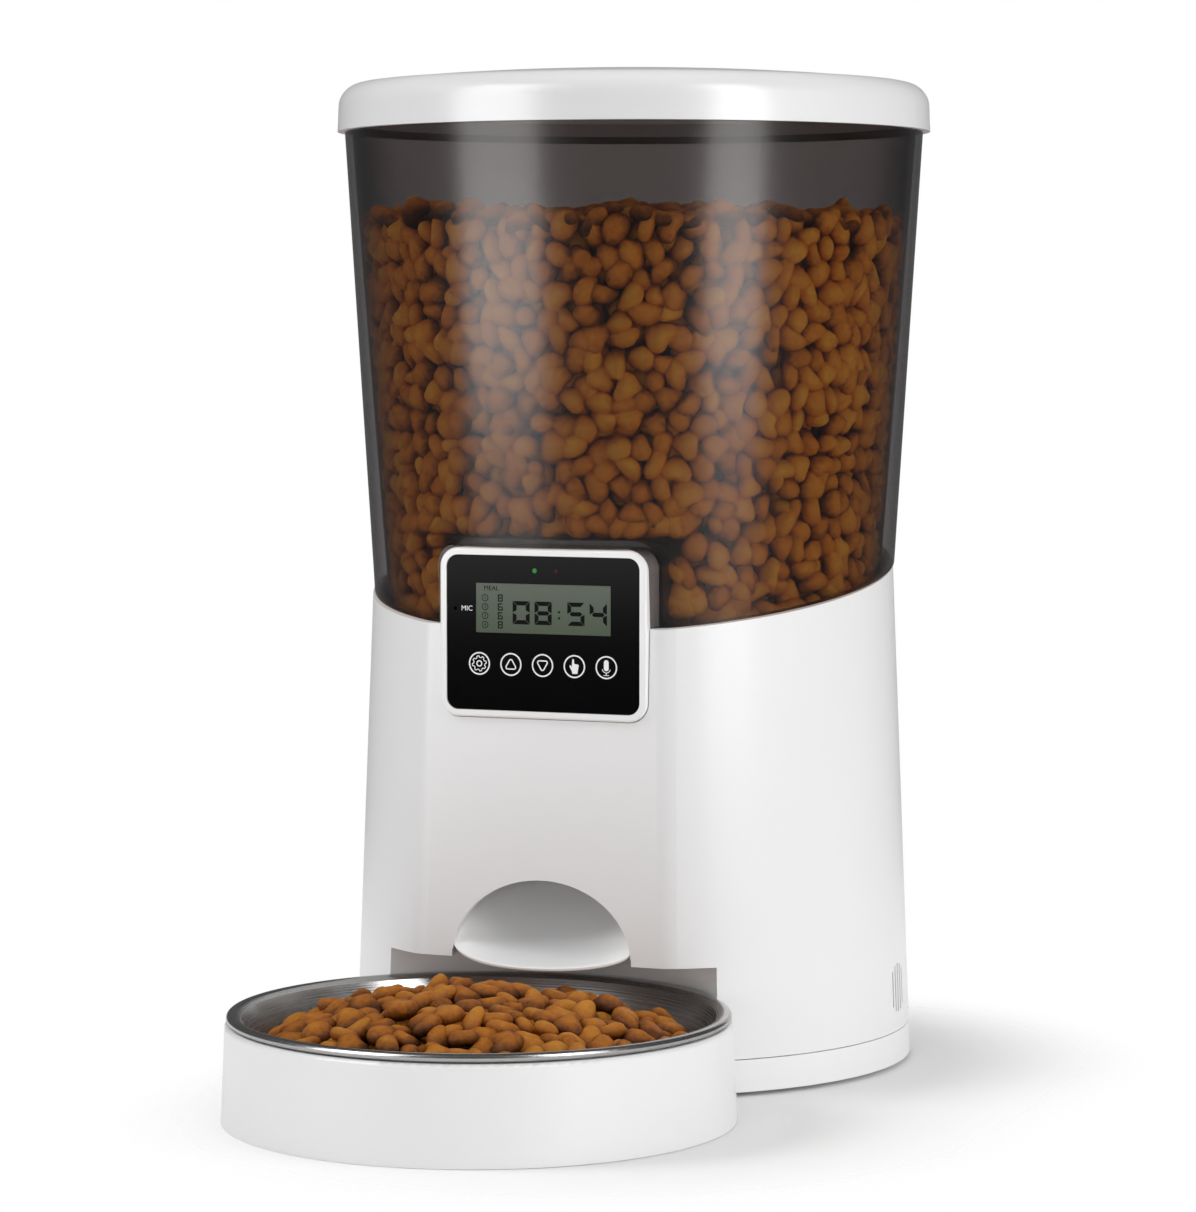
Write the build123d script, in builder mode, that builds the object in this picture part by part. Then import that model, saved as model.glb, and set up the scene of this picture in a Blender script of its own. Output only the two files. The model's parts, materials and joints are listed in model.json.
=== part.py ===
"""Automatic pet feeder: a smoked hopper with a lid on a round white base, and a bowl in a holder.

Millimetres, +Z up. The origin is at the middle of the footprint of the whole object, on the
surface that it stands on. The front, with the control panel, the food outlet and the bowl, faces -Y.
Heights are absolute. Lengths called x and y in the base are counted from the base's own axis.
"""
from build123d import *
import math
import os

os.makedirs("parts", exist_ok=True)

# ---- driving dimensions -------------------------------------------------------------------
HEIGHT = 368.0                 # floor to the crown of the lid
WALL = 2.5                     # moulded plastic walls

WAIST_R = 97.5                 # outer radius where hopper and base meet
WAIST_Z = 180.4                # height of the seam on the axis
SEAM_RISE = 0.16               # the seam climbs this much per millimetre towards the back
SEAM_GAP = 0.5                 # shadow gap between base and hopper
BASE_FLARE = 0.0395            # the base widens this much per millimetre downwards
FOOT_Z = 1.5                   # gap under the base plate, taken up by the feet
SKIRT_Z = 13.0                 # top of the base plate's skirt
SKIRT_GAP = 0.3

FACET_Y = 92.5                 # distance of the flat front from the axis, at the floor
FACET_LEAN = 0.0356            # the flat front leans back this much per millimetre upwards
FACET_SOFT = 14.0              # rounding of the flat front's long edges

HOPPER_TOP_R = 107.7           # outer radius of the hopper just under the lid
LID_Z = 345.4                  # lower edge of the lid
LID_R = 110.4                  # outer radius of the lid
RIM_Z = 353.0                  # top of the hopper's wall, inside the lid

HOLDER_R = 89.4                # bowl holder, outer radius at the floor
HOLDER_Z = 34.2                # bowl holder, top
BOWL_R = 87.4                  # outer radius of the bowl's rolled rim
BOWL_Z = 37.5                  # top of the bowl's rim
BOWL_GAP = 146.0               # base axis to bowl axis
DOCK_R = 91.0                  # recess in the base that the holder slides into
DOCK_Z = 46.5                  # ceiling of that recess

OUTLET_W = 69.0                # food outlet: width of the arch
OUTLET_H = 28.5                # food outlet: height of the arch
OUTLET_Z = 47.0                # food outlet: foot of the arch
LIP_HALF = 34.2                # half width of the chute's lip

HEAD_W = 79.8                  # control head: width
HEAD_Z = (133.4, 194.4)        # control head: bottom and top
HEAD_Y = -89.3                 # control head: front face
HEAD_BACK = -77.0              # control head: back
HEAD_CORNER = 7.0
BEZEL = 2.6                    # width of the white frame round the black panel

ROTOR_R = 45.5                 # portion wheel
HOUSING_R = 47.0               # bore of the rotor housing
HOUSING_FLOOR = (108.0, 110.5)
DECK = (131.0, 133.5)          # housing cover, which closes the base under the hopper
NECK_R = 38.0                  # bore of the hopper's neck

MODULE = 1.0                   # gear tooth module
PRESSURE = math.radians(25)
BACKLASH = 0.16
OUTPUT_TEETH = 36
SMALL_TEETH = 14
BIG_TEETH = 40
PINION_TEETH = 12
CASE_Z = (86.0, 108.0)         # gearbox case

CELL_R = 17.0                  # D-size dry cell
CELL_L = 61.0
CELL_Y = (-14.0, 21.0, 56.0)

# ---- derived frame ------------------------------------------------------------------------
BODY_Y = (BOWL_GAP + HOLDER_R - LID_R) / 2
BOWL_Y = BODY_Y - BOWL_GAP
LEAN = math.atan(FACET_LEAN)
SEAM = Plane((0, BODY_Y, WAIST_Z), x_dir=(1, 0, 0), z_dir=(0, -SEAM_RISE, 1))
FACET_NORMAL = (0, -1, FACET_LEAN)


def base_r(z):
    """Outer radius of the base at a height."""
    return WAIST_R + BASE_FLARE * (WAIST_Z - z)


def hopper_r(z):
    """Outer radius of the hopper at a height."""
    return WAIST_R + (HOPPER_TOP_R - WAIST_R) * (z - WAIST_Z) / (LID_Z - WAIST_Z)


def level(z, y=BODY_Y):
    """Horizontal plane centred on the base's axis, or on another axis."""
    return Plane((0, y, z))


def front(y):
    """Upright plane facing -Y at a distance from the base's axis; sketch x is X, sketch y is Z."""
    return Plane((0, BODY_Y + y, 0), x_dir=(1, 0, 0), z_dir=(0, -1, 0))


def side(x=0):
    """Upright plane facing +X; sketch x is y from the base's axis, sketch y is Z."""
    return Plane((x, BODY_Y, 0), x_dir=(0, 1, 0), z_dir=(1, 0, 0))


# ---- helpers that draw into the part being built --------------------------------------------
def block(x, y, z, mode=Mode.ADD):
    """Rectangular block from its three (low, high) spans."""
    with BuildSketch(level(z[0])) as foot:
        with Locations(((x[0] + x[1]) / 2, (y[0] + y[1]) / 2)):
            Rectangle(x[1] - x[0], y[1] - y[0])
    extrude(foot.sketch, amount=z[1] - z[0], mode=mode)


def disc(x, y, z, radius, mode=Mode.ADD):
    """Upright cylinder at x, y with a (low, high) span in height."""
    with BuildSketch(level(z[0])) as foot:
        with Locations((x, y)):
            Circle(radius)
    extrude(foot.sketch, amount=z[1] - z[0], mode=mode)


def stud(x, z, y, radius, mode=Mode.ADD):
    """Cylinder along Y at x, z with a (front, back) span in y."""
    with BuildSketch(front(y[1])) as foot:
        with Locations((x, z)):
            Circle(radius)
    extrude(foot.sketch, amount=y[1] - y[0], mode=mode)


def turned(points, axis_y=BODY_Y, mode=Mode.ADD):
    """Body of revolution from a closed outline of (radius, height) points."""
    with BuildSketch(Plane((0, axis_y, 0), x_dir=(1, 0, 0), z_dir=(0, -1, 0))) as half:
        with BuildLine():
            Polyline(*points, close=True)
        make_face()
    revolve(half.sketch, axis=Axis((0, axis_y, 0), (0, 0, 1)), mode=mode)


def ribbon(outline, half_width, mode=Mode.ADD):
    """Closed outline of (y, z) points drawn out sideways by half_width each way."""
    with BuildSketch(side()) as shape:
        with BuildLine():
            Polyline(*outline, close=True)
        make_face()
    extrude(shape.sketch, amount=half_width, both=True, mode=mode)


def tile(plane, width, z, corner, depth, mode=Mode.ADD):
    """Rounded rectangle on an upright plane, extruded forwards by depth."""
    with BuildSketch(plane) as face:
        with Locations((0, (z[0] + z[1]) / 2)):
            RectangleRounded(width, z[1] - z[0], corner)
    extrude(face.sketch, amount=depth, mode=mode)


def sector(z, radii, mid, half, mode=Mode.ADD):
    """Flat piece of a ring: height span, (inner, outer) radii, middle angle and half angle in degrees."""
    with BuildSketch(level(z[0])) as face:
        with BuildLine():
            outer = CenterArc((0, 0), radii[1], mid - half, 2 * half)
            inner = CenterArc((0, 0), radii[0], mid - half, 2 * half)
            Line(outer @ 0, inner @ 0)
            Line(outer @ 1, inner @ 1)
        make_face()
    extrude(face.sketch, amount=z[1] - z[0], mode=mode)


def body_solid(inset, z, soft):
    """The base's tapered round envelope with its flat front, moved in by inset."""
    with BuildPart() as envelope:
        turned([(0, z[0]), (base_r(z[0]) - inset, z[0]), (base_r(z[1]) - inset, z[1]), (0, z[1])])
        cut = Plane((0, BODY_Y - FACET_Y + inset, 0), x_dir=(1, 0, 0), z_dir=FACET_NORMAL)
        split(bisect_by=cut, keep=Keep.BOTTOM)
        long_edges = envelope.faces().sort_by(Axis.Y)[0].edges().filter_by(
            lambda edge: abs(edge.tangent_at(0.5).Z) > 0.9)
        fillet(long_edges, radius=soft)
    return envelope.part


def polar(radius, angle):
    """The x, y point at a radius and an angle in degrees."""
    return (radius * math.cos(math.radians(angle)), radius * math.sin(math.radians(angle)))


def save(builder, label):
    """Name a finished piece and write it."""
    builder.part.label = label
    export_step(builder.part, f"parts/{label}.step")


# ---- base shell -----------------------------------------------------------------------------
POST_ANGLES = (62, 118, -20, -160)       # screw posts inside the base wall
POST_RING = 96.0
SPEAKER_Y = 5.0
SPEAKER_Z = 29.0
JACK_Z = 22.0

with BuildPart() as base_cavity:
    add(body_solid(WALL, (SKIRT_Z - 1, WAIST_Z + 30), FACET_SOFT - WALL))

# the posts carry the housing cover; their outer sides run into the wall
with BuildPart() as posts:
    for angle in POST_ANGLES:
        disc(*polar(POST_RING, angle), (SKIRT_Z + SKIRT_GAP, DECK[0]), 5.0)
    add(body_solid(WALL / 2, (SKIRT_Z, DECK[1]), FACET_SOFT), mode=Mode.INTERSECT)

with BuildPart() as base_shell:
    add(body_solid(0, (SKIRT_Z + SKIRT_GAP, WAIST_Z + 28), FACET_SOFT))
    split(bisect_by=SEAM, keep=Keep.BOTTOM)
    add(base_cavity.part, mode=Mode.SUBTRACT)
    add(posts.part)
    for angle in POST_ANGLES:
        disc(*polar(POST_RING, angle), (SKIRT_Z, 40), 1.6, Mode.SUBTRACT)
    with BuildSketch(level(0, BOWL_Y)):
        Circle(DOCK_R)
    extrude(amount=DOCK_Z, mode=Mode.SUBTRACT)
    # the outlet is a half ellipse in the flat front
    with BuildSketch(front(-80)) as arch:
        with Locations((0, OUTLET_Z)):
            Ellipse(OUTLET_W / 2, OUTLET_H)
            with Locations((0, -OUTLET_H)):
                Rectangle(OUTLET_W + 2, 2 * OUTLET_H, mode=Mode.SUBTRACT)
    extrude(arch.sketch, amount=20, mode=Mode.SUBTRACT)
    # slot under the arch for the chute's lip
    block((-LIP_HALF - 0.5, LIP_HALF + 0.5), (-96, -76), (DOCK_Z - 1, OUTLET_Z + 2.2), Mode.SUBTRACT)
    # notch for the control head, open at the top
    tile(front(-70), HEAD_W + 0.6, (HEAD_Z[0] - 0.3, 225), HEAD_CORNER + 0.3, 27, Mode.SUBTRACT)
    # speaker slits, their ends on a circle
    for step in (-2, -1, 0, 1, 2):
        half = math.sqrt(9.0**2 - (3.0 * step)**2)
        centre = SPEAKER_Y + 3.0 * step
        block((94, 108), (centre - 0.6, centre + 0.6), (SPEAKER_Z - half, SPEAKER_Z + half), Mode.SUBTRACT)
    stud(0, JACK_Z, (90, 110), 4.5, Mode.SUBTRACT)
save(base_shell, "base_shell")

# the recess that the bowl holder stands in: a curved wall and a ceiling, inside the shell
with BuildPart() as bowl_dock:
    add(body_solid(WALL, (SKIRT_Z + SKIRT_GAP, DOCK_Z + WALL), FACET_SOFT - WALL))
    with BuildSketch(level(0, BOWL_Y)) as outside:
        Circle(DOCK_R + WALL)
    extrude(outside.sketch, amount=DOCK_Z + WALL, mode=Mode.INTERSECT)
    with BuildSketch(level(0, BOWL_Y)) as inside:
        Circle(DOCK_R)
    extrude(inside.sketch, amount=DOCK_Z, mode=Mode.SUBTRACT)
    # slot in the ceiling for the chute's lip
    block((-37, 37), (-96, -76), (DOCK_Z - 1, DOCK_Z + WALL + 1), Mode.SUBTRACT)
save(bowl_dock, "bowl_dock")

# ---- base plate, feet and screws --------------------------------------------------------------
DOOR_X = 33.0
DOOR_Y = (-32.0, 74.0)
FOOT_RING = 84.0
FOOT_ANGLES = (40, 140, -2, -178)
PLATE_TOP = FOOT_Z + WALL

with BuildPart() as plate_cavity:
    add(body_solid(WALL, (PLATE_TOP, SKIRT_Z + 1), FACET_SOFT - WALL))
    with BuildSketch(level(0, BOWL_Y)):
        Circle(DOCK_R + WALL)
    extrude(amount=SKIRT_Z + 2, mode=Mode.SUBTRACT)

with BuildPart() as base_plate:
    add(body_solid(0, (FOOT_Z, SKIRT_Z), FACET_SOFT))
    add(plate_cavity.part, mode=Mode.SUBTRACT)
    with BuildSketch(level(0, BOWL_Y)):
        Circle(DOCK_R)
    extrude(amount=SKIRT_Z + 1, mode=Mode.SUBTRACT)
    block((-DOOR_X - 0.3, DOOR_X + 0.3), (DOOR_Y[0] - 0.3, DOOR_Y[1] + 0.3), (0, PLATE_TOP + 1),
          Mode.SUBTRACT)
    for angle in FOOT_ANGLES:
        disc(*polar(FOOT_RING, angle), (0, FOOT_Z + 1), 8.2, Mode.SUBTRACT)
    for angle in POST_ANGLES:
        disc(*polar(POST_RING, angle), (0, PLATE_TOP + 1), 1.8, Mode.SUBTRACT)
save(base_plate, "base_plate")

with BuildPart() as rubber_feet:
    for angle in FOOT_ANGLES:
        disc(*polar(FOOT_RING, angle), (0, FOOT_Z + 1), 8.0)
    fillet(rubber_feet.faces().group_by(Axis.Z)[0].edges(), radius=0.6)
save(rubber_feet, "rubber_feet")

with BuildPart() as base_screws:
    for angle in POST_ANGLES:
        disc(*polar(POST_RING, angle), (0.4, FOOT_Z), 3.0)
        disc(*polar(POST_RING, angle), (FOOT_Z, 24), 1.5)
save(base_screws, "base_screws")

# ---- rotor housing, its cover and the chute -----------------------------------------------------
SHAFT_R = 3.0
SHAFT_FIT = 0.05
OUTLET_RING = (25.0, 46.0)               # hole in the housing floor, over the chute

with BuildPart() as rotor_housing:
    turned([(SHAFT_R + SHAFT_FIT, HOUSING_FLOOR[0]), (HOUSING_R + WALL, HOUSING_FLOOR[0]),
            (HOUSING_R + WALL, DECK[0] - WALL), (HOUSING_R + 9, DECK[0] - WALL), (HOUSING_R + 9, DECK[0]),
            (HOUSING_R, DECK[0]), (HOUSING_R, HOUSING_FLOOR[1]), (SHAFT_R + SHAFT_FIT, HOUSING_FLOOR[1])])
    sector((HOUSING_FLOOR[0] - 1, HOUSING_FLOOR[1] + 1), OUTLET_RING, -90, 30, Mode.SUBTRACT)
save(rotor_housing, "rotor_housing")

with BuildPart() as housing_cover:
    disc(0, 0, DECK, 94.0)
    turned([(NECK_R + 3.1, DECK[1]), (NECK_R + 5.6, DECK[1]), (NECK_R + 5.6, DECK[1] + 5),
            (NECK_R + 3.1, DECK[1] + 5)])
    block((-100, 100), (-100, -72), (DECK[0] - 1, DECK[1] + 6), Mode.SUBTRACT)
    disc(0, 0, (DECK[0] - 1, DECK[1] + 1), NECK_R, Mode.SUBTRACT)
    sector(DECK, (11, NECK_R + 1), -90, 40)
save(housing_cover, "housing_cover")

CHUTE_TOP = HOUSING_FLOOR[0]
CHUTE_FLOOR = [(-27.5, CHUTE_TOP), (-80, 52.5), (-103, 45.5)]
CHUTE_SKIN = 1.8
LIP_R = 52.0                             # plan radius of the lip's front edge

with BuildPart() as chute:
    ribbon([(-24.8, CHUTE_TOP), (-79.2, 50.1), (-103, 43.6), (-103, 45.5), (-86.8, 50.4),
            (-86.8, 79), (-49.6, CHUTE_TOP)], OUTLET_W / 2 + CHUTE_SKIN)
    ribbon([(CHUTE_FLOOR[0][0], CHUTE_TOP + 1), *CHUTE_FLOOR, (-110, 80),
            (-86, 77), (-47.4, CHUTE_TOP + 1)], OUTLET_W / 2, Mode.SUBTRACT)
    # the lip is a shallow curve in plan, widest in the middle
    with BuildSketch(level(40)) as plan:
        with Locations((0, -103 + LIP_R)):
            Circle(LIP_R)
            Rectangle(2 * LIP_HALF, 3 * LIP_R, mode=Mode.INTERSECT)
        with Locations((0, -50)):
            Rectangle(120, 76)
    extrude(plan.sketch, amount=80, mode=Mode.INTERSECT)
save(chute, "chute")

# ---- portion rotor, agitator, shaft and gear train ---------------------------------------------
PADDLES = 6
COMPOUND = (MODULE * (OUTPUT_TEETH + SMALL_TEETH) / 2, 30.0)      # distance and direction from the shaft
PINION = (MODULE * (BIG_TEETH + PINION_TEETH) / 2, 100.0)         # distance and direction from the compound
COMPOUND_XY = polar(*COMPOUND)
PINION_XY = (COMPOUND_XY[0] + polar(*PINION)[0], COMPOUND_XY[1] + polar(*PINION)[1])
OUTPUT_Z = (90.0, 96.0)
SMALL_Z = (89.5, 97.5)
BIG_Z = (97.5, 103.0)
PINION_Z = (97.0, 103.5)


def involute(angle):
    """Involute function of an angle in radians."""
    return math.tan(angle) - angle


def gear_outline(centre, teeth, tooth_at):
    """Closed outline of a spur gear about a centre, with a tooth at an angle in degrees."""
    pitch = MODULE * teeth / 2
    base = pitch * math.cos(PRESSURE)
    tip = pitch + 0.95 * MODULE
    root = pitch - 1.3 * MODULE
    half_tooth = (math.pi * MODULE / 2 - BACKLASH) / 2 / pitch + involute(PRESSURE)
    start = max(base, root)
    radii = [start + (tip - start) * step / 4 for step in range(5)]
    flank = [(radius, half_tooth - involute(math.acos(min(1, base / radius)))) for radius in radii]
    if root < base:
        flank.insert(0, (root, flank[0][1]))
    one_tooth = [(radius, -half) for radius, half in flank]
    one_tooth += [(radius, half) for radius, half in reversed(flank)]
    points = []
    for tooth in range(teeth):
        middle = math.radians(tooth_at) + 2 * math.pi * tooth / teeth
        for radius, turn in one_tooth:
            points.append((centre[0] + radius * math.cos(middle + turn),
                           centre[1] + radius * math.sin(middle + turn)))
    return points


def gear(centre, z, teeth, tooth_at):
    """Spur gear rim added to the part being built."""
    with BuildSketch(level(z[0])) as face:
        with BuildLine():
            Polyline(*gear_outline(centre, teeth, tooth_at), close=True)
        make_face()
    extrude(face.sketch, amount=z[1] - z[0])


with BuildPart() as output_shaft:
    disc(0, 0, (CASE_Z[0] - 1, 142), SHAFT_R)
save(output_shaft, "output_shaft")

with BuildPart() as portion_rotor:
    disc(0, 0, (HOUSING_FLOOR[1] + 0.5, DECK[0] - 1), 10)
    with BuildSketch(level(HOUSING_FLOOR[1] + 0.5)) as blades:
        with PolarLocations(0, PADDLES):
            with Locations((ROTOR_R / 2 + 3, 0)):
                Rectangle(ROTOR_R - 6, 2.4)
    extrude(blades.sketch, amount=DECK[0] - HOUSING_FLOOR[1] - 1.5)
    disc(0, 0, (HOUSING_FLOOR[0], DECK[1]), SHAFT_R, Mode.SUBTRACT)
save(portion_rotor, "portion_rotor")

with BuildPart() as agitator:
    disc(0, 0, (DECK[0] - 1, DECK[1] + 8), 7.5)
    block((-33, 33), (-3, 3), (DECK[1] + 1.5, DECK[1] + 5))
    disc(0, 0, (DECK[0] - 2, DECK[1] + 9), SHAFT_R, Mode.SUBTRACT)
save(agitator, "agitator")

with BuildPart() as output_gear:
    gear((0, 0), OUTPUT_Z, OUTPUT_TEETH, COMPOUND[1])
    disc(0, 0, (OUTPUT_Z[0] - 1, OUTPUT_Z[1] + 1), SHAFT_R, Mode.SUBTRACT)
save(output_gear, "output_gear")

PIN_R = 1.5
with BuildPart() as compound_gear:
    gear(COMPOUND_XY, SMALL_Z, SMALL_TEETH, COMPOUND[1] + 180 + 180 / SMALL_TEETH)
    gear(COMPOUND_XY, BIG_Z, BIG_TEETH, PINION[1])
    disc(*COMPOUND_XY, (SMALL_Z[0] - 1, BIG_Z[1] + 1), PIN_R + SHAFT_FIT, Mode.SUBTRACT)
save(compound_gear, "compound_gear")

with BuildPart() as gear_axle:
    disc(*COMPOUND_XY, (CASE_Z[0], CASE_Z[1]), PIN_R)
save(gear_axle, "gear_axle")

MOTOR_SHAFT_R = 1.15
with BuildPart() as motor_pinion:
    gear(PINION_XY, PINION_Z, PINION_TEETH, PINION[1] + 180 + 180 / PINION_TEETH)
    disc(*PINION_XY, (PINION_Z[0] - 1, PINION_Z[1] + 1), MOTOR_SHAFT_R, Mode.SUBTRACT)
save(motor_pinion, "motor_pinion")

with BuildPart() as motor_shaft:
    disc(*PINION_XY, (CASE_Z[0] + 0.3, PINION_Z[1] + 0.5), MOTOR_SHAFT_R)
save(motor_shaft, "motor_shaft")


def case_outline(extra):
    """Outline round the three gears, as circles and the tangents between them."""
    with BuildSketch(level(0)) as outline:
        with BuildLine():
            CenterArc((0, 0), 21 + extra, 0, 360)
            CenterArc(COMPOUND_XY, 22.5 + extra, 0, 360)
            CenterArc(PINION_XY, 9.5 + extra, 0, 360)
        make_hull()
    return outline.sketch


with BuildPart() as gearbox_case:
    extrude(Pos(0, 0, CASE_Z[0]) * case_outline(2), amount=CASE_Z[1] - CASE_Z[0])
    extrude(Pos(0, 0, CASE_Z[0] + 2) * case_outline(0), amount=CASE_Z[1] - CASE_Z[0], mode=Mode.SUBTRACT)
    disc(0, 0, (CASE_Z[0] - 1, CASE_Z[0] + 3), SHAFT_R + SHAFT_FIT, Mode.SUBTRACT)
    disc(*COMPOUND_XY, (CASE_Z[0] - 1, CASE_Z[0] + 3), PIN_R, Mode.SUBTRACT)
    disc(*PINION_XY, (CASE_Z[0] - 1, CASE_Z[0] + 3), 3.2, Mode.SUBTRACT)
save(gearbox_case, "gearbox_case")

MOTOR_R = 12.0
with BuildPart() as motor:
    disc(*PINION_XY, (54, CASE_Z[0]), MOTOR_R)
    fillet(motor.edges().group_by(Axis.Z)[0], radius=2)
    disc(*PINION_XY, (51.5, 54), 4)
save(motor, "motor")

with BuildPart() as position_switch:
    block((-39, -25), (8, 14), (99, HOUSING_FLOOR[0]))
    block((-38, -27), (10.5, 11.5), (94.5, 99))
save(position_switch, "position_switch")

# ---- hopper -------------------------------------------------------------------------------------
SPIGOT_R = 93.6                          # part of the hopper that stands inside the base
FUNNEL_Z = 163.0
NECK_Z = (DECK[1] + 0.5, 141.0)
POCKET_X = HEAD_W / 2 + 0.8
POCKET_Y = -74.5
POCKET_Z = HEAD_Z[1] + 0.8


def pocket(grow, mode):
    """Room for the control head in the hopper's front, round at its upper corners."""
    tile(front(POCKET_Y + grow), 2 * (POCKET_X + grow), (100, POCKET_Z + grow), HEAD_CORNER + 0.8 + grow,
         POCKET_Y + grow + 112, mode)


with BuildPart() as hopper_cavity:
    turned([(0, NECK_Z[0] - 1), (NECK_R, NECK_Z[0] - 1), (NECK_R, NECK_Z[1]), (SPIGOT_R - 2.4, FUNNEL_Z),
            (HOPPER_TOP_R - 2.6, LID_Z), (HOPPER_TOP_R - 2.6, RIM_Z + 1), (0, RIM_Z + 1)])
    pocket(2.6, Mode.SUBTRACT)

# the spigot follows the inside of the base, flat front included
with BuildPart() as spigot:
    turned([(0, NECK_Z[0]), (NECK_R + 2.5, NECK_Z[0]), (NECK_R + 2.5, NECK_Z[1] - 2),
            (SPIGOT_R, FUNNEL_Z - 2), (SPIGOT_R, 200), (0, 200)])
    add(body_solid(WALL + 0.7, (NECK_Z[0] - 1, 201), FACET_SOFT - WALL), mode=Mode.INTERSECT)

with BuildPart() as hopper_tank:
    turned([(0, WAIST_Z - 25), (hopper_r(WAIST_Z - 25), WAIST_Z - 25), (hopper_r(LID_Z - 0.4), LID_Z - 0.4),
            (HOPPER_TOP_R - 0.7, LID_Z - 0.4), (HOPPER_TOP_R - 0.7, RIM_Z), (0, RIM_Z)])
    split(bisect_by=SEAM.offset(SEAM_GAP), keep=Keep.TOP)
    add(spigot.part)
    pocket(0, Mode.SUBTRACT)
    add(hopper_cavity.part, mode=Mode.SUBTRACT)
save(hopper_tank, "hopper_tank")

# ---- lid ------------------------------------------------------------------------------------------
LID_CORNER = 8.8
LID_EDGE = 101.2                         # radius where the crown begins
SKIRT_TOP = 354.3
CROWN_Z = SKIRT_TOP + LID_CORNER
CROWN_R = (LID_EDGE**2 + (HEIGHT - CROWN_Z)**2) / (2 * (HEIGHT - CROWN_Z))      # a shallow sphere
LID_SKIN = 2.4


def lid_profile(skin):
    """Half section of the lid's outside, or of its inside with skin taken off."""
    skirt_r = LID_R - (2.8 if skin else 0)
    bend = (LID_EDGE + (LID_CORNER - skin) * math.cos(math.pi / 4),
            SKIRT_TOP + (LID_CORNER - skin) * math.sin(math.pi / 4))
    crown_mid = (LID_EDGE / 2, HEIGHT - skin - CROWN_R + math.sqrt(CROWN_R**2 - LID_EDGE**2 / 4))
    with BuildSketch(Plane((0, BODY_Y, 0), x_dir=(1, 0, 0), z_dir=(0, -1, 0))) as half:
        with BuildLine():
            low = Line((0, LID_Z - bool(skin)), (skirt_r, LID_Z - bool(skin)))
            shoulder = (LID_EDGE + LID_CORNER - skin, SKIRT_TOP)
            wall = Line(low @ 1, shoulder)
            corner = ThreePointArc(wall @ 1, bend, (LID_EDGE, CROWN_Z - skin))
            crown = ThreePointArc(corner @ 1, crown_mid, (0, HEIGHT - skin))
            Line(crown @ 1, low @ 0)
        make_face()
    return half.sketch


LID_AXIS = Axis((0, BODY_Y, 0), (0, 0, 1))
with BuildPart() as lid_shell:
    revolve(lid_profile(0), axis=LID_AXIS)
    revolve(lid_profile(LID_SKIN), axis=LID_AXIS, mode=Mode.SUBTRACT)
    turned([(102, RIM_Z), (108.2, RIM_Z), (108.2, RIM_Z + 4.5), (102, RIM_Z + 4.5)])
save(lid_shell, "lid_shell")

with BuildPart() as lid_seal:
    turned([(101.8, RIM_Z - 5), (103.2, RIM_Z - 5), (104.5, RIM_Z - 3), (104.5, RIM_Z), (101.8, RIM_Z)])
save(lid_seal, "lid_seal")

DRY_R = 30.0                             # desiccant box under the lid
DRY_Z = (354.0, 364.8)
with BuildPart() as desiccant_box:
    turned([(0, DRY_Z[0]), (DRY_R, DRY_Z[0]), (DRY_R, DRY_Z[1]), (0, DRY_Z[1])])
    disc(0, 0, (DRY_Z[0] - 1, DRY_Z[1] - 1.6), DRY_R - 1.6, Mode.SUBTRACT)
save(desiccant_box, "desiccant_box")

with BuildPart() as desiccant_cover:
    disc(0, 0, (DRY_Z[0] - 1.4, DRY_Z[0]), DRY_R)
    with BuildSketch(level(DRY_Z[0] - 2)) as slots:
        with PolarLocations(14, 12):
            SlotOverall(16, 2.2)
    extrude(slots.sketch, amount=3, mode=Mode.SUBTRACT)
save(desiccant_cover, "desiccant_cover")

with BuildPart() as desiccant_bag:
    block((-19, 19), (-16, 16), (DRY_Z[0] + 0.6, DRY_Z[0] + 6.6))
    fillet(desiccant_bag.edges(), radius=2.5)
save(desiccant_bag, "desiccant_bag")

# ---- bowl holder and bowl ---------------------------------------------------------------------------
HOLDER_SLOPE = 1.4                       # the holder's side leans in this much by its top
SHELF_R = 83.2                           # opening that the bowl hangs in
BOWL_AXIS = Axis((0, BOWL_Y, 0), (0, 0, 1))

with BuildPart() as bowl_holder:
    with BuildSketch(Plane((0, BOWL_Y, 0), x_dir=(1, 0, 0), z_dir=(0, -1, 0))) as half:
        with BuildLine():
            foot = Line((0, 0), (HOLDER_R, 0))
            wall = Line(foot @ 1, (HOLDER_R - HOLDER_SLOPE, HOLDER_Z - 1.2))
            edge = ThreePointArc(wall @ 1, (HOLDER_R - 1.8, HOLDER_Z - 0.35), (HOLDER_R - 2.7, HOLDER_Z))
            Polyline(edge @ 1, (SHELF_R, HOLDER_Z), (SHELF_R, HOLDER_Z - WALL),
                     (HOLDER_R - HOLDER_SLOPE - WALL, HOLDER_Z - WALL), (HOLDER_R - WALL, WALL),
                     (0, WALL), (0, 0))
        make_face()
    revolve(half.sketch, axis=BOWL_AXIS)
save(bowl_holder, "bowl_holder")

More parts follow.
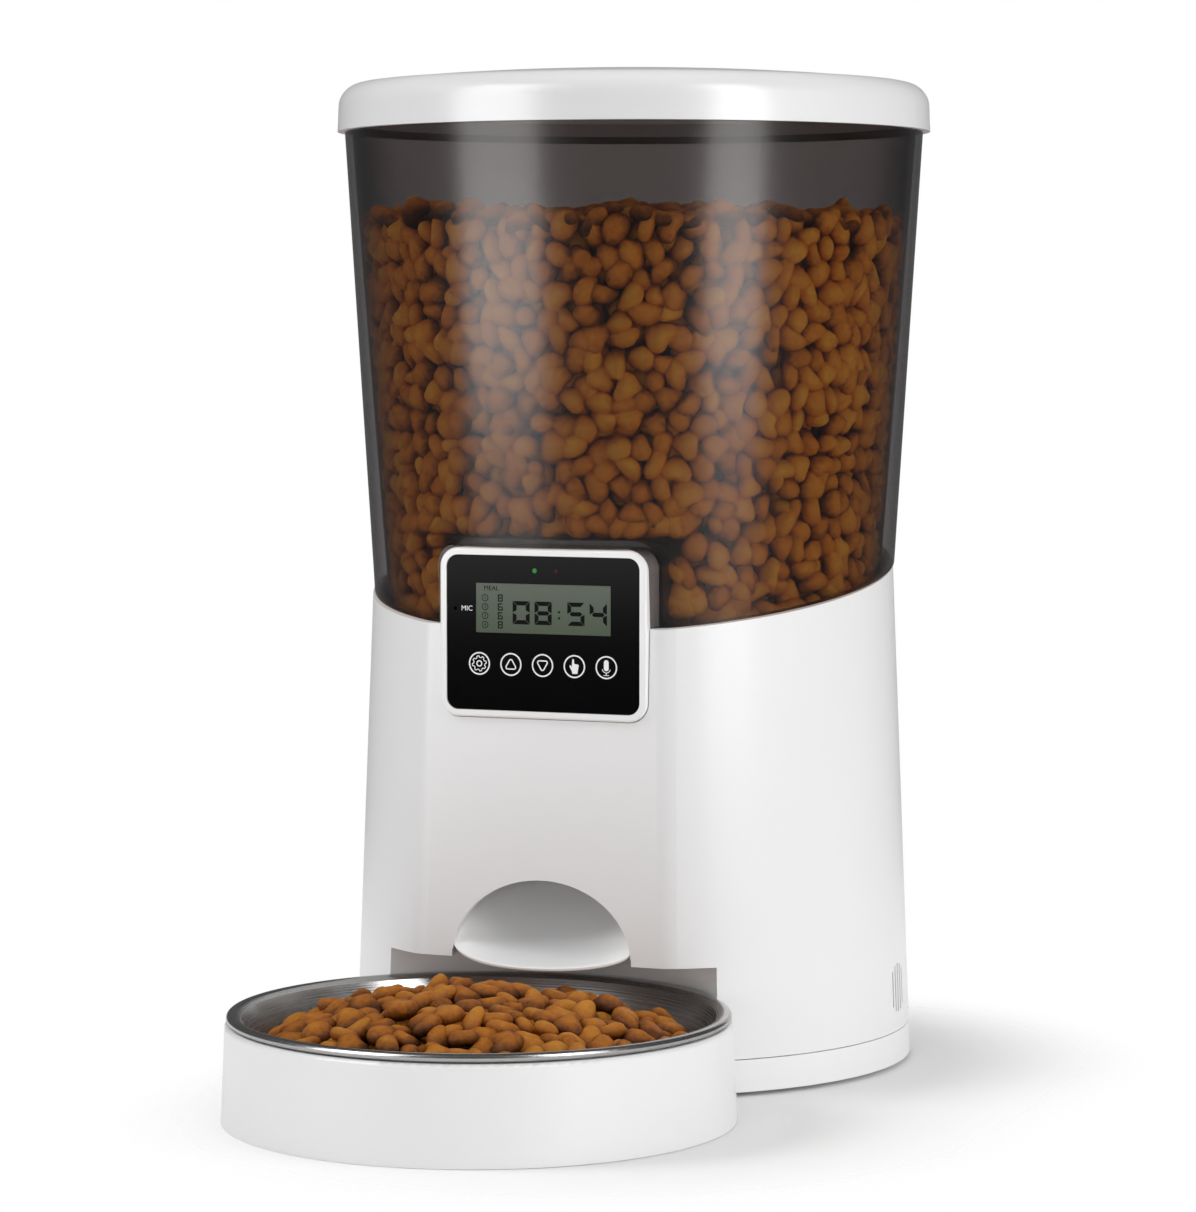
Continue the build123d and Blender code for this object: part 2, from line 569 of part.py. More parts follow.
RIM_LOW = HOLDER_Z + 0.3                 # underside of the rolled rim
SHEET = 1.0
with BuildPart() as steel_bowl:
    with BuildSketch(Plane((0, BOWL_Y, 0), x_dir=(1, 0, 0), z_dir=(0, -1, 0))) as half:
        with BuildLine():
            roll = ThreePointArc((BOWL_R - 1.4, RIM_LOW), (BOWL_R, RIM_LOW + 1.4), (BOWL_R - 1.6, BOWL_Z))
            crest = ThreePointArc(roll @ 1, (BOWL_R - 3.3, BOWL_Z - 0.3), (BOWL_R - 5.2, BOWL_Z - 1.6))
            inner = Line(crest @ 1, (74.0, 14.0))
            heel = ThreePointArc(inner @ 1, (71.0, 10.2), (65.5, 9.0))
            floor = Line(heel @ 1, (0, 9.0))
            drop = Line(floor @ 1, (0, 9.0 - SHEET))
            under = Line(drop @ 1, (65.8, 9.0 - SHEET))
            knee = ThreePointArc(under @ 1, (71.8, 9.4), (75.0, 13.8))
            outer = Line(knee @ 1, (BOWL_R - 5.1, RIM_LOW - 0.7))
            Polyline(outer @ 1, (BOWL_R - 4.4, RIM_LOW), roll @ 0)
        make_face()
    revolve(half.sketch, axis=BOWL_AXIS)
save(steel_bowl, "steel_bowl")

# ---- control head -------------------------------------------------------------------------------------
PANEL_Y = HEAD_Y + 0.4                   # black face, set in a little
PANEL_T = 1.6
OPEN_W = HEAD_W - 2 * BEZEL
OPEN_Z = (HEAD_Z[0] + BEZEL, HEAD_Z[1] - BEZEL)
OPEN_CORNER = HEAD_CORNER - BEZEL
KEY_PITCH = 12.27
KEY_Z = 152.7
KEY_R = 3.3
KEY_NAMES = ("key_settings", "key_up", "key_down", "key_feed", "key_record")
LCD_X = (-25.9, 26.1)
LCD_Z = (163.9, 181.7)
LED_Z = 186.5
LEDS = {"led_green": -3.1, "led_red": 5.0}
MIC = (-33.9, 172.4)
BOARD_Y = (-82.0, -80.4)

with BuildPart() as control_bezel:
    tile(front(HEAD_BACK), HEAD_W, HEAD_Z, HEAD_CORNER, HEAD_BACK - HEAD_Y)
    fillet(control_bezel.faces().sort_by(Axis.Y)[0].edges(), radius=0.9)
    tile(front(HEAD_BACK + 1), OPEN_W, OPEN_Z, OPEN_CORNER, 20, Mode.SUBTRACT)
save(control_bezel, "control_bezel")

with BuildPart() as control_panel:
    tile(front(PANEL_Y + PANEL_T), OPEN_W - 0.3, (OPEN_Z[0] + 0.15, OPEN_Z[1] - 0.15), OPEN_CORNER, PANEL_T)
    block((LCD_X[0] - 0.15, LCD_X[1] + 0.15), (PANEL_Y - 1, PANEL_Y + 3), (LCD_Z[0] - 0.15, LCD_Z[1] + 0.15),
          Mode.SUBTRACT)
    for index in range(len(KEY_NAMES)):
        stud((index - 2) * KEY_PITCH, KEY_Z, (PANEL_Y - 1, PANEL_Y + 3), KEY_R + 0.3, Mode.SUBTRACT)
    for led_x in LEDS.values():
        stud(led_x, LED_Z, (PANEL_Y - 1, PANEL_Y + 3), 0.9, Mode.SUBTRACT)
    stud(*MIC, (PANEL_Y - 1, PANEL_Y + 3), 0.6, Mode.SUBTRACT)
save(control_panel, "control_panel")

with BuildPart() as lcd_display:
    block(LCD_X, (PANEL_Y + 0.15, BOARD_Y[0]), LCD_Z)
save(lcd_display, "lcd_display")

for name, led_x in LEDS.items():
    with BuildPart() as led:
        stud(led_x, LED_Z, (PANEL_Y + 0.1, BOARD_Y[0]), 0.85)
    save(led, name)

with BuildPart() as microphone:
    stud(*MIC, (PANEL_Y + PANEL_T, BOARD_Y[0]), 2.8)
    stud(*MIC, (PANEL_Y, BOARD_Y[0] - 3), 0.3, Mode.SUBTRACT)
save(microphone, "microphone")

for index, name in enumerate(KEY_NAMES):
    with BuildPart() as key:
        key_x = (index - 2) * KEY_PITCH
        stud(key_x, KEY_Z, (PANEL_Y - 0.1, PANEL_Y + PANEL_T + 1.2), KEY_R)
        stud(key_x, KEY_Z, (PANEL_Y + PANEL_T + 0.1, PANEL_Y + PANEL_T + 1.2), KEY_R + 1)
        fillet(key.faces().sort_by(Axis.Y)[0].edges(), radius=0.3)
    save(key, name)

with BuildPart() as tact_switches:
    for index in range(len(KEY_NAMES)):
        key_x = (index - 2) * KEY_PITCH
        block((key_x - 3, key_x + 3), (BOARD_Y[0] - 2.4, BOARD_Y[0]), (KEY_Z - 3, KEY_Z + 3))
save(tact_switches, "tact_switches")

with BuildPart() as control_board:
    block((-35, 35), BOARD_Y, (OPEN_Z[0] + 3, OPEN_Z[1] - 3))
save(control_board, "control_board")

with BuildPart() as control_back:
    tile(front(HEAD_BACK), OPEN_W - 0.3, (OPEN_Z[0] + 0.15, OPEN_Z[1] - 0.15), OPEN_CORNER, 1.5)
save(control_back, "control_back")

# ---- electronics and power in the base ---------------------------------------------------------------
TRAY_X = 34.0
TRAY_Y = (-33.0, 75.0)
TRAY_Z = (PLATE_TOP, 44.0)

with BuildPart() as battery_tray:
    block((-TRAY_X - 2, TRAY_X + 2), (TRAY_Y[0] - 2, TRAY_Y[1] + 2), TRAY_Z)
    block((-TRAY_X, TRAY_X), TRAY_Y, (TRAY_Z[0] - 1, TRAY_Z[1] - 2), Mode.SUBTRACT)
    for x, y in ((-32, -12), (-32, 38), (2, -12), (2, 38)):
        disc(x, y, (TRAY_Z[1], TRAY_Z[1] + 3), 2.5)
save(battery_tray, "battery_tray")

with BuildPart() as batteries:
    for y in CELL_Y:
        with BuildSketch(side(-CELL_L / 2)) as cell:
            with Locations((y, PLATE_TOP + 0.8 + CELL_R)):
                Circle(CELL_R)
        extrude(cell.sketch, amount=CELL_L - 1.5)
        with BuildSketch(side(CELL_L / 2 - 1.5)) as button:
            with Locations((y, PLATE_TOP + 0.8 + CELL_R)):
                Circle(4.8)
        extrude(button.sketch, amount=1.5)
save(batteries, "batteries")

with BuildPart() as battery_contacts:
    for y in CELL_Y:
        for x in (-TRAY_X + 0.2, TRAY_X - 0.7):
            block((x, x + 0.5), (y - 7, y + 7), (PLATE_TOP + 9, PLATE_TOP + 27))
        # spring coils pressed flat against the cell's base, as one cone
        with BuildSketch(side(-TRAY_X + 0.7)) as coil:
            with Locations((y, PLATE_TOP + 0.8 + CELL_R)):
                Circle(6)
        extrude(coil.sketch, amount=TRAY_X - 0.7 - CELL_L / 2, taper=20)
save(battery_contacts, "battery_contacts")

with BuildPart() as battery_door:
    block((-DOOR_X, DOOR_X), DOOR_Y, (FOOT_Z, PLATE_TOP - 0.1))
    with BuildSketch(level(FOOT_Z)) as grip:
        with GridLocations(0, 4, 1, 3):
            with Locations((0, DOOR_Y[0] + 14)):
                SlotOverall(24, 1.6)
    extrude(grip.sketch, amount=0.8, mode=Mode.SUBTRACT)
save(battery_door, "battery_door")

with BuildPart() as main_board:
    block((-38, 6), (-18, 44), (TRAY_Z[1] + 3, TRAY_Z[1] + 4.6))
    block((-30, -18), (0, 12), (TRAY_Z[1] + 4.6, TRAY_Z[1] + 6))
    block((-12, -2), (24, 34), (TRAY_Z[1] + 4.6, TRAY_Z[1] + 9))
    disc(-28, 30, (TRAY_Z[1] + 4.6, TRAY_Z[1] + 16), 4)
save(main_board, "main_board")

with BuildPart() as dc_jack:
    block((-4.5, 4.5), (86, 99.6), (JACK_Z - 5.5, JACK_Z + 5.5))
    stud(0, JACK_Z, (99.6, 101.8), 4.2)
    stud(0, JACK_Z, (92, 103), 2.85, Mode.SUBTRACT)
    stud(0, JACK_Z, (91, 100), 1.0)
save(dc_jack, "dc_jack")

with BuildPart() as speaker:
    for x, reach, radius in ((94.5, 3.5, 14.0), (90.5, 4.0, 10.0), (85.5, 5.0, 7.5)):
        with BuildSketch(side(x)) as ring:
            with Locations((SPEAKER_Y, SPEAKER_Z)):
                Circle(radius)
        extrude(ring.sketch, amount=reach)
save(speaker, "speaker")
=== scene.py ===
"""Looks of the automatic pet feeder.

Materials, dry food, feed scoop, display and key marks, light and camera.
"""

import json
import math

import bmesh
import bpy
import numpy as np
from mathutils import Matrix, Vector

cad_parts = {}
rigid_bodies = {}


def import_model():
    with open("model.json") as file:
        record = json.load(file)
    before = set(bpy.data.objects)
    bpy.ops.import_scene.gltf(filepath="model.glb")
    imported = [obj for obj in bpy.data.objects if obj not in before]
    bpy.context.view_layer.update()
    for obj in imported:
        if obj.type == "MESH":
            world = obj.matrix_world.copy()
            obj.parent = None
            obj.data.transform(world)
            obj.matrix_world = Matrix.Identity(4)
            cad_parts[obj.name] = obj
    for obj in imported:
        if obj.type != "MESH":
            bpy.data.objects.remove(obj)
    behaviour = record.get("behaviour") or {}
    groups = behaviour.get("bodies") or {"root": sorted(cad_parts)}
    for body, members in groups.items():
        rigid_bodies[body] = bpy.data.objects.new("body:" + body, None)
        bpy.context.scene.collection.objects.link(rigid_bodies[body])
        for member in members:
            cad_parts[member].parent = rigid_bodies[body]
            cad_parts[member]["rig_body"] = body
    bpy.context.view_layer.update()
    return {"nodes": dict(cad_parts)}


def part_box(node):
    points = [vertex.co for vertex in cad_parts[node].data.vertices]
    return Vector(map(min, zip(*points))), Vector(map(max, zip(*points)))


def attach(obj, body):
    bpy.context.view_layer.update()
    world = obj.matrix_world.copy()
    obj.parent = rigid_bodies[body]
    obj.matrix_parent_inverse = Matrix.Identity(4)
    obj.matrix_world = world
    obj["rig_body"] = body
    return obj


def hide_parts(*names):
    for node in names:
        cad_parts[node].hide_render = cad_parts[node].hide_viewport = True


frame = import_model()
nodes = frame["nodes"]
MM = 0.001


def middle(node):
    """Middle of a CAD node's box."""
    low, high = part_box(node)
    return (low + high) / 2


AXIS_Y = middle("hopper_tank").y             # upright axis of hopper and base
BOWL_Y = middle("steel_bowl").y              # upright axis of the bowl
PANEL_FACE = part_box("control_panel")[0].y    # front of the black panel
KEY_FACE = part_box("key_up")[0].y             # front of the keys
KEY_Z = middle("key_down").z
KEYS = ("key_settings", "key_up", "key_down", "key_feed", "key_record")
LCD_LOW, LCD_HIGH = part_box("lcd_display")
PRINT_THICK = 0.04 * MM

# hopper's inner wall; heights are above the floor, y is from the hopper's axis
TANK_LOW = (91.2 * MM, 163.0 * MM)           # radius and height where the funnel begins
TANK_HIGH = (105.1 * MM, 345.4 * MM)         # under the lid
NECK = (38.0 * MM, 141.0 * MM)
SEAM_Z = 180.4 * MM                          # seam between hopper and base, on the axis
SEAM_RISE = 0.16                             # and how much it climbs towards the back
FLAT_Y = -68.0 * MM                          # the hopper's foot is flat in front of this
POCKET_HALF = 43.3 * MM                      # room for the control head: half width, back and top
POCKET_BACK = -72.0 * MM
POCKET_TOP = 198.0 * MM
GIRTH_Z = 0.24                               # height at which the kibbles at the wall are counted round
FOOD_Z = 314.0 * MM                          # level of the food in the hopper

# bowl's inner wall
BOWL_FLOOR = (74.0 * MM, 14.0 * MM)
BOWL_LIP = (84.0 * MM, 37.0 * MM)
HEAP_R = 72.0 * MM
HEAP_Z = 41.5 * MM                           # top of the heap
HEAP_DROP = 15.0 * MM                        # the heap is this much lower at HEAP_R
LIP_ROOM = 3.6 * MM                          # and this much lower under the scoop's lip
LIP_HALF = 46 * MM                           # half the width of that hollow
LIP_FRONT = 20 * MM                          # where it begins, behind the bowl's axis
LIP_FADE = 14 * MM                           # and how far it takes to reach its depth


# ---- meshes --------------------------------------------------------------------------------
def add_mesh(name, vertices, faces):
    """Smooth object from vertices in metres and faces."""
    mesh = bpy.data.meshes.new(name)
    mesh.from_pydata([tuple(v) for v in vertices], [], [tuple(f) for f in faces])
    mesh.validate()
    mesh.polygons.foreach_set("use_smooth", [True] * len(mesh.polygons))
    mesh.update()
    piece = bpy.data.objects.new(name, mesh)
    bpy.context.scene.collection.objects.link(piece)
    return piece


def finish_piece(piece, body, material):
    """Gives a piece its material and the body that it moves with."""
    piece.data.materials.clear()
    piece.data.materials.append(material)
    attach(piece, body)


def lathe(name, profile, axis_y):
    """Closed surface of revolution from (radius, height) points that start and end on the axis."""
    turns = 96
    ring = profile[1:-1]
    angles = np.linspace(0, 2 * math.pi, turns, endpoint=False)
    vertices = [(0, axis_y, profile[0][1])]
    for radius, z in ring:
        vertices += [(radius * math.cos(a), axis_y + radius * math.sin(a), z) for a in angles]
    vertices.append((0, axis_y, profile[-1][1]))
    last = len(vertices) - 1
    faces = []
    for k in range(turns):
        n = (k + 1) % turns
        faces.append((0, 1 + n, 1 + k))
        for row in range(len(ring) - 1):
            a, b = 1 + row * turns, 1 + (row + 1) * turns
            faces.append((a + k, a + n, b + n, b + k))
        b = 1 + (len(ring) - 1) * turns
        faces.append((b + k, b + n, last))
    return add_mesh(name, vertices, faces)


def round_block(cuts):
    """Unit vectors and quads of a cube blown up to a ball."""
    bm = bmesh.new()
    bmesh.ops.create_cube(bm, size=2)
    bmesh.ops.subdivide_edges(bm, edges=bm.edges, cuts=cuts, use_grid_fill=True)
    bm.verts.ensure_lookup_table()
    vertices = np.array([v.co.normalized() for v in bm.verts])
    quads = np.array([[v.index for v in f.verts] for f in bm.faces])
    bm.free()
    return vertices, quads


# ---- dry food ------------------------------------------------------------------------------
def kibble_forms(ball, random, count):
    """Lumpy ovals, hearts, trefoils and beans, 11 to 14 mm long, thin along z."""
    forms = []
    angle = np.arctan2(ball[:, 1], ball[:, 0])
    flat = np.hypot(ball[:, 0], ball[:, 1])
    for k in range(count):
        swell = np.ones(len(ball))
        kind = k % 4
        half = np.array([6.4, 5.2, 3.9]) * MM
        if kind == 1:
            notch = np.exp(-((np.abs(angle) - math.pi) / 0.5)**2)
            swell += flat**2 * (0.13 * np.cos(3 * angle) - 0.20 * notch)
            half = np.array([6.3, 6.2, 3.7]) * MM
        if kind == 2:
            swell += 0.17 * flat**2 * np.cos(3 * angle)
            half = np.array([6.0, 6.0, 3.6]) * MM
        if kind == 3:
            half = np.array([7.1, 4.3, 3.6]) * MM
        for wave in random.normal(0, 2.1, (4, 3)):
            swell += 0.028 * np.sin(ball @ wave + random.uniform(0, 6.3))
        form = ball * swell[:, None] * half
        if kind == 3:
            form[:, 1] += 0.045 / MM * form[:, 0]**2 - 0.8 * MM
        dimple = np.exp(-(form[:, 0]**2 + form[:, 1]**2) / (2.4 * MM)**2)
        form[:, 2] -= np.sign(form[:, 2]) * 0.55 * MM * dimple
        forms.append(form)
    return forms


def turned_kibble(form, normal, random, tilt):
    """A kibble lying on a surface with that normal, turned at random and tipped a little.

    The rows are x, y, z and how far the point looks out of the heap, 0 to 1; the last is used to paint
    shade on the sides and underside that face into the heap.
    """
    spin = Matrix.Rotation(random.uniform(0, 2 * math.pi), 3, "Z")
    tip_x = Matrix.Rotation(random.normal(0, tilt), 3, "X")
    tip_y = Matrix.Rotation(random.normal(0, tilt), 3, "Y")
    lay = Vector(normal).to_track_quat("Z", "Y").to_matrix()
    turn = np.array(lay @ (tip_x @ tip_y) @ spin)
    shape = form @ turn.T * random.uniform(0.82, 1.02)
    outward = shape / np.linalg.norm(shape, axis=1)[:, None] @ np.array(Vector(normal).normalized())
    return np.column_stack([shape, np.clip(0.25 + 0.8 * outward, 0, 1)])


def scattered(width, height, pitch, random):
    """Points of a shaken triangular grid over a rectangle."""
    shake = 0.3
    points = []
    row = 0
    y = 0.0
    while y < height:
        x = pitch / 2 * (row % 2)
        while x < width:
            aside = random.normal(0, shake) * pitch / 2
            points.append((x + aside, y + random.normal(0, shake) * pitch / 2))
            x += pitch
        y += pitch * 0.866
        row += 1
    return points


def tank_r(z):
    """Inner radius of the hopper at a height."""
    slope = (TANK_HIGH[0] - TANK_LOW[0]) / (TANK_HIGH[1] - TANK_LOW[1])
    return TANK_LOW[0] + slope * (z - TANK_LOW[1])


def bowl_r(z):
    """Inner radius of the bowl at a height."""
    slope = (BOWL_LIP[0] - BOWL_FLOOR[0]) / (BOWL_LIP[1] - BOWL_FLOOR[1])
    return BOWL_FLOOR[0] + slope * (z - BOWL_FLOOR[1])


def heap_z(r):
    """Height of the heap in the bowl at a distance from its middle."""
    return HEAP_Z - HEAP_DROP * (r / HEAP_R)**2


def kept_inside(shape, axis_y, wall, gap):
    """Moves a kibble towards the axis until all of it is a gap inside the wall."""
    radial = np.hypot(shape[:, 0], shape[:, 1] - axis_y)
    over = (radial - wall(shape[:, 2])).max() + gap
    centre = shape.mean(0)
    inward = np.array([-centre[0], axis_y - centre[1], 0, 0])
    return shape + inward / np.linalg.norm(inward) * over


def food_piece(name, shapes, quads, random):
    """One mesh from many kibbles; each has its own random lightness, with painted shade that makes it
    darker deep in the heap.
    """
    step = len(shapes[0])
    vertices = np.concatenate(shapes)
    faces = np.concatenate([quads + k * step for k in range(len(shapes))])
    piece = add_mesh(name, vertices[:, :3], faces)
    own = np.repeat(random.uniform(0, 1, len(shapes)), step)
    # Painted shade: each kibble's own random lightness mixed with darkness on the sides and underside that
    # face into the heap.
    tone_and_shade = piece.data.attributes.new("tone_and_shade", "FLOAT", "POINT")
    tone_and_shade.data.foreach_set("value", 0.35 * own + 0.65 * vertices[:, 3])
    return piece


def clear_of_pocket(shape, x, y, z, gap):
    """Moves a kibble out of the room for the control head; None for one in the middle of it."""
    if abs(x) >= POCKET_HALF + 6 * MM or y >= POCKET_BACK + 30 * MM or z >= POCKET_TOP + 6 * MM:
        return shape
    if z > POCKET_TOP - 4 * MM:
        return shape + (0, 0, POCKET_TOP + 0.3 * MM - shape[:, 2].min(), 0)
    if abs(x) > POCKET_HALF - 4 * MM:
        side = np.sign(x)
        outside = POCKET_HALF + 0.3 * MM - (side * shape[:, 0]).min()
        return kept_inside(shape + (side * outside, 0, 0, 0), AXIS_Y, tank_r, gap)
    return None


def wall_layer(forms, random, depth, pitch):
    """Angles and kibbles of one layer behind the hopper's wall, from the seam up to the food's level."""
    layer = []
    girth = 2 * math.pi * tank_r(GIRTH_Z)
    for along, rise in scattered(girth, FOOD_Z - TANK_LOW[1], pitch, random):
        angle = along / girth * 2 * math.pi
        z = TANK_LOW[1] + rise
        radius = tank_r(z) - 6 * MM - depth
        x, y = radius * math.cos(angle), radius * math.sin(angle)
        seam = SEAM_Z + SEAM_RISE * y
        if z < seam - 10 * MM or z > FOOD_Z - 3 * MM:
            continue
        outward = (math.cos(angle), math.sin(angle), 0)
        shape = turned_kibble(forms[random.integers(len(forms))], outward, random, 0.5)
        shape = shape + (x, AXIS_Y + y, z, 0)
        gap = 0.5 * MM + depth + abs(random.normal(0, 1.1)) * MM
        shape = kept_inside(shape, AXIS_Y, tank_r, gap)
        ledge = seam + 1.0 * MM if y < FLAT_Y else TANK_LOW[1] + 0.5 * MM
        lift = max(0, ledge - shape[:, 2].min())
        shape = kept_inside(shape + (0, 0, lift, 0), AXIS_Y, tank_r, gap)
        shape = clear_of_pocket(shape, x, y, z, gap)
        if shape is not None:
            layer.append((angle, shape))
    return layer


def top_layer(forms, random):
    """Angles and kibbles of the uneven top of the food."""
    layer = []
    reach = tank_r(FOOD_Z)
    for across, back in scattered(2 * reach, 2 * reach, 9.2 * MM, random):
        x, y = across - reach, back - reach
        if math.hypot(x, y) > reach - 5 * MM:
            continue
        swell = 2.5 * MM * math.sin(41 * x + 1) * math.cos(37 * y)
        z = FOOD_Z - 2 * MM + swell + random.normal(0, 1.3) * MM
        shape = turned_kibble(forms[random.integers(len(forms))], (0, 0, 1), random, 0.45)
        shape = shape + (x, AXIS_Y + y, z, 0)
        if math.hypot(x, y) > reach - 12 * MM:
            shape = kept_inside(shape, AXIS_Y, tank_r, 1 * MM)
        layer.append((math.atan2(y, x) % (2 * math.pi), shape))
    return layer


def hopper_food():
    """Kibbles behind the hopper's wall, two layers deep, and across the top; one piece a quarter."""
    random = np.random.default_rng(7)
    ball, quads = round_block(4)
    forms = kibble_forms(ball, random, 16)
    kibbles = wall_layer(forms, random, 0.0, 8.8 * MM)
    kibbles += wall_layer(forms, random, 6.0 * MM, 9.6 * MM)
    kibbles += top_layer(forms, random)
    quarters = [[] for _ in range(4)]
    for angle, shape in kibbles:
        quarters[int(angle / (math.pi / 2)) % 4].append(shape)
    return [food_piece(f"hopper_food_{k}", shapes, quads, random) for k, shapes in enumerate(quarters)]


def hopper_core():
    """Food deep in the hopper, flattened in front so that it leaves the control head its room."""
    inset, behind = 1.2 * MM, 12 * MM
    profile = [(0, NECK[1] + 1.5 * MM), (NECK[0] - inset, NECK[1] + 1.5 * MM)]
    profile += [(tank_r(TANK_LOW[1]) - behind, TANK_LOW[1] + 2 * MM)]
    profile += [(tank_r(z) - behind, z) for z in np.linspace(TANK_LOW[1] + 6 * MM, FOOD_Z - 8 * MM, 24)]
    profile += [(0.6 * tank_r(FOOD_Z), FOOD_Z - 7 * MM), (0, FOOD_Z - 7 * MM)]
    core = lathe("hopper_food_core", profile, AXIS_Y)
    flat = AXIS_Y + POCKET_BACK + 6 * MM
    for v in core.data.vertices:
        if abs(v.co.x) < POCKET_HALF + 9 * MM and v.co.y < flat and v.co.z < POCKET_TOP + 6 * MM:
            v.co.y = flat
    core.data.update()
    return core


def bowl_food():
    """Heap of kibbles in the bowl, two layers deep."""
    random = np.random.default_rng(21)
    ball, quads = round_block(5)
    forms = kibble_forms(ball, random, 16)
    shapes = []
    reach = bowl_r(0.03)
    last_r = bowl_r(0.026) - 8 * MM
    for depth, pitch in ((0.0, 9.3 * MM), (5.0 * MM, 9.8 * MM)):
        for across, back in scattered(2 * reach, 2 * reach, pitch, random):
            x, y = across - reach, back - reach
            r = math.hypot(x, y)
            if r > last_r:
                continue
            slope = 2 * HEAP_DROP * r / HEAP_R**2
            normal = (x / max(r, MM) * slope, y / max(r, MM) * slope, 1)
            z = heap_z(r) - depth + random.normal(0, 1.3) * MM
            if abs(x) < LIP_HALF:
                z -= LIP_ROOM * min(1.0, max(0.0, (y - LIP_FRONT) / LIP_FADE))
            shape = turned_kibble(forms[random.integers(len(forms))], normal, random, 0.42)
            shape = shape + (x, BOWL_Y + y, z, 0)
            if r > HEAP_R - 8 * MM:
                radial = np.hypot(shape[:, 0], shape[:, 1] - BOWL_Y)
                if (radial - bowl_r(shape[:, 2])).max() > -0.6 * MM:
                    shape = kept_inside(shape, BOWL_Y, bowl_r, 0.6 * MM)
            shapes.append(shape)
    return food_piece("bowl_food", shapes, quads, random)


def bowl_core():
    """Food deep in the bowl, under the kibbles of the heap."""
    under = 7 * MM
    rim = BOWL_FLOOR[0] + 2 * MM
    profile = [(0, BOWL_FLOOR[1]), (BOWL_FLOOR[0] - 2 * MM, BOWL_FLOOR[1] + 1 * MM)]
    profile += [(rim, heap_z(rim) - under - 2 * MM)]
    profile += [(r, heap_z(r) - under) for r in np.linspace(rim - 4 * MM, 4 * MM, 14)]
    profile += [(0, HEAP_Z - under)]
    return lathe("bowl_food_core", profile, BOWL_Y)


# ---- scoop in the food outlet ----------------------------------------------------------------
def scoop():
    """Hollow feed scoop: steep inside the base, flat at its rounded lip."""
    across, along = 40, 36
    half_width = 34.2 * MM
    lip_rows, lip_reach, lip_dip = 9, 12.0 * MM, 0.6 * MM
    # y from the hopper's axis, height and how far the sides rise, from the lip inwards
    stations = np.array([(-91.0, 46.6, 3.4), (-86.0, 48.2, 12.0), (-80.0, 51.0, 22.0), (-72.0, 56.5, 30.0),
                         (-60.0, 67.5, 36.0), (-46.0, 82.0, 30.0), (-32.0, 97.0, 14.0)]) * MM
    share = np.linspace(0, 1, len(stations))
    samples = np.linspace(0, 1, along)
    smooth = [np.interp(samples, share, stations[:, k]) for k in range(3)]
    kernel = np.array([1, 2, 3, 2, 1]) / 9
    for k in range(3):
        padded = np.concatenate([[smooth[k][0]] * 2, smooth[k], [smooth[k][-1]] * 2])
        smooth[k] = np.convolve(padded, kernel, mode="valid")
    vertices, faces = [], []
    for i in range(along):
        y, z, rise = (smooth[k][i] for k in range(3))
        at_lip = max(0.0, 1 - i / lip_rows)
        reach = lip_reach * at_lip**1.5
        for j in range(across + 1):
            u = 2 * j / across - 1
            bend = 1 - math.sqrt(max(0.0, 1 - abs(u)**2.6))
            dip = lip_dip * (1 - u * u) * at_lip
            vertices.append((u * half_width, AXIS_Y + y - reach * (1 - u * u), z + rise * bend - dip))
    for i in range(along - 1):
        for j in range(across):
            a = i * (across + 1) + j
            faces.append((a, a + 1, a + across + 2, a + across + 1))
    piece = add_mesh("feed_scoop", vertices, faces)
    shell = piece.modifiers.new("wall", "SOLIDIFY")
    shell.thickness = 1.4 * MM
    shell.offset = -1
    shell.use_even_offset = True
    edge = piece.modifiers.new("edge", "BEVEL")
    edge.width = 0.45 * MM
    edge.segments = 3
    edge.limit_method = "ANGLE"
    edge.angle_limit = math.radians(50)
    return piece


# ---- printed marks ---------------------------------------------------------------------------
def ring_points(radius, count=48, x=0.0, z=0.0, start=0.0, sweep=360.0):
    """Points on a circle or an arc, in millimetres."""
    closed = sweep >= 360
    angles = np.radians(start + np.linspace(0, sweep, count, endpoint=not closed))
    return [(x + radius * math.cos(a), z + radius * math.sin(a)) for a in angles]


def add_stroke(bm, points, width, closed=True):
    """Flat line of even width along points, with mitred corners."""
    points = [Vector(p) for p in points]
    count = len(points)
    pairs = []
    for k, p in enumerate(points):
        before = points[k - 1] if closed or k else p
        after = points[(k + 1) % count] if closed or k < count - 1 else p
        first = (p - before).normalized() if (p - before).length > 1e-9 else (after - p).normalized()
        second = (after - p).normalized() if (after - p).length > 1e-9 else first
        normal = Vector((-(first + second).y, (first + second).x)).normalized()
        stretch = min(2.0, 1 / max(0.3, normal.dot(Vector((-first.y, first.x)))))
        offset = normal * width / 2 * stretch
        pairs.append([bm.verts.new((*(p + s * offset), 0)) for s in (1, -1)])
    for k in range(count if closed else count - 1):
        a, b = pairs[k], pairs[(k + 1) % count]
        bm.faces.new((a[0], a[1], b[1], b[0]))


def add_patch(bm, points):
    """Flat filled outline."""
    bm.faces.new([bm.verts.new((*p, 0)) for p in points])


def printed(name, draw, x, z, face_y):
    """Thin raised print on a face that looks along -Y; draw() fills a flat mesh in millimetres."""
    bm = bmesh.new()
    draw(bm)
    bmesh.ops.triangulate(bm, faces=bm.faces)
    bmesh.ops.recalc_face_normals(bm, faces=bm.faces)
    for f in bm.faces:
        if f.normal.z < 0:
            f.normal_flip()
    flat = bm.faces[:]
    raised = bmesh.ops.extrude_face_region(bm, geom=flat)
    for v in raised["geom"]:
        if isinstance(v, bmesh.types.BMVert):
            v.co.z += PRINT_THICK / MM
    bmesh.ops.recalc_face_normals(bm, faces=bm.faces)
    place = Matrix.Translation((x, face_y + 0.01 * MM, z)) @ Matrix.Rotation(math.pi / 2, 4, "X")
    bm.transform(place @ Matrix.Scale(MM, 4))
    mesh = bpy.data.meshes.new(name)
    bm.to_mesh(mesh)
    bm.free()
    piece = bpy.data.objects.new(name, mesh)
    bpy.context.scene.collection.objects.link(piece)
    return piece


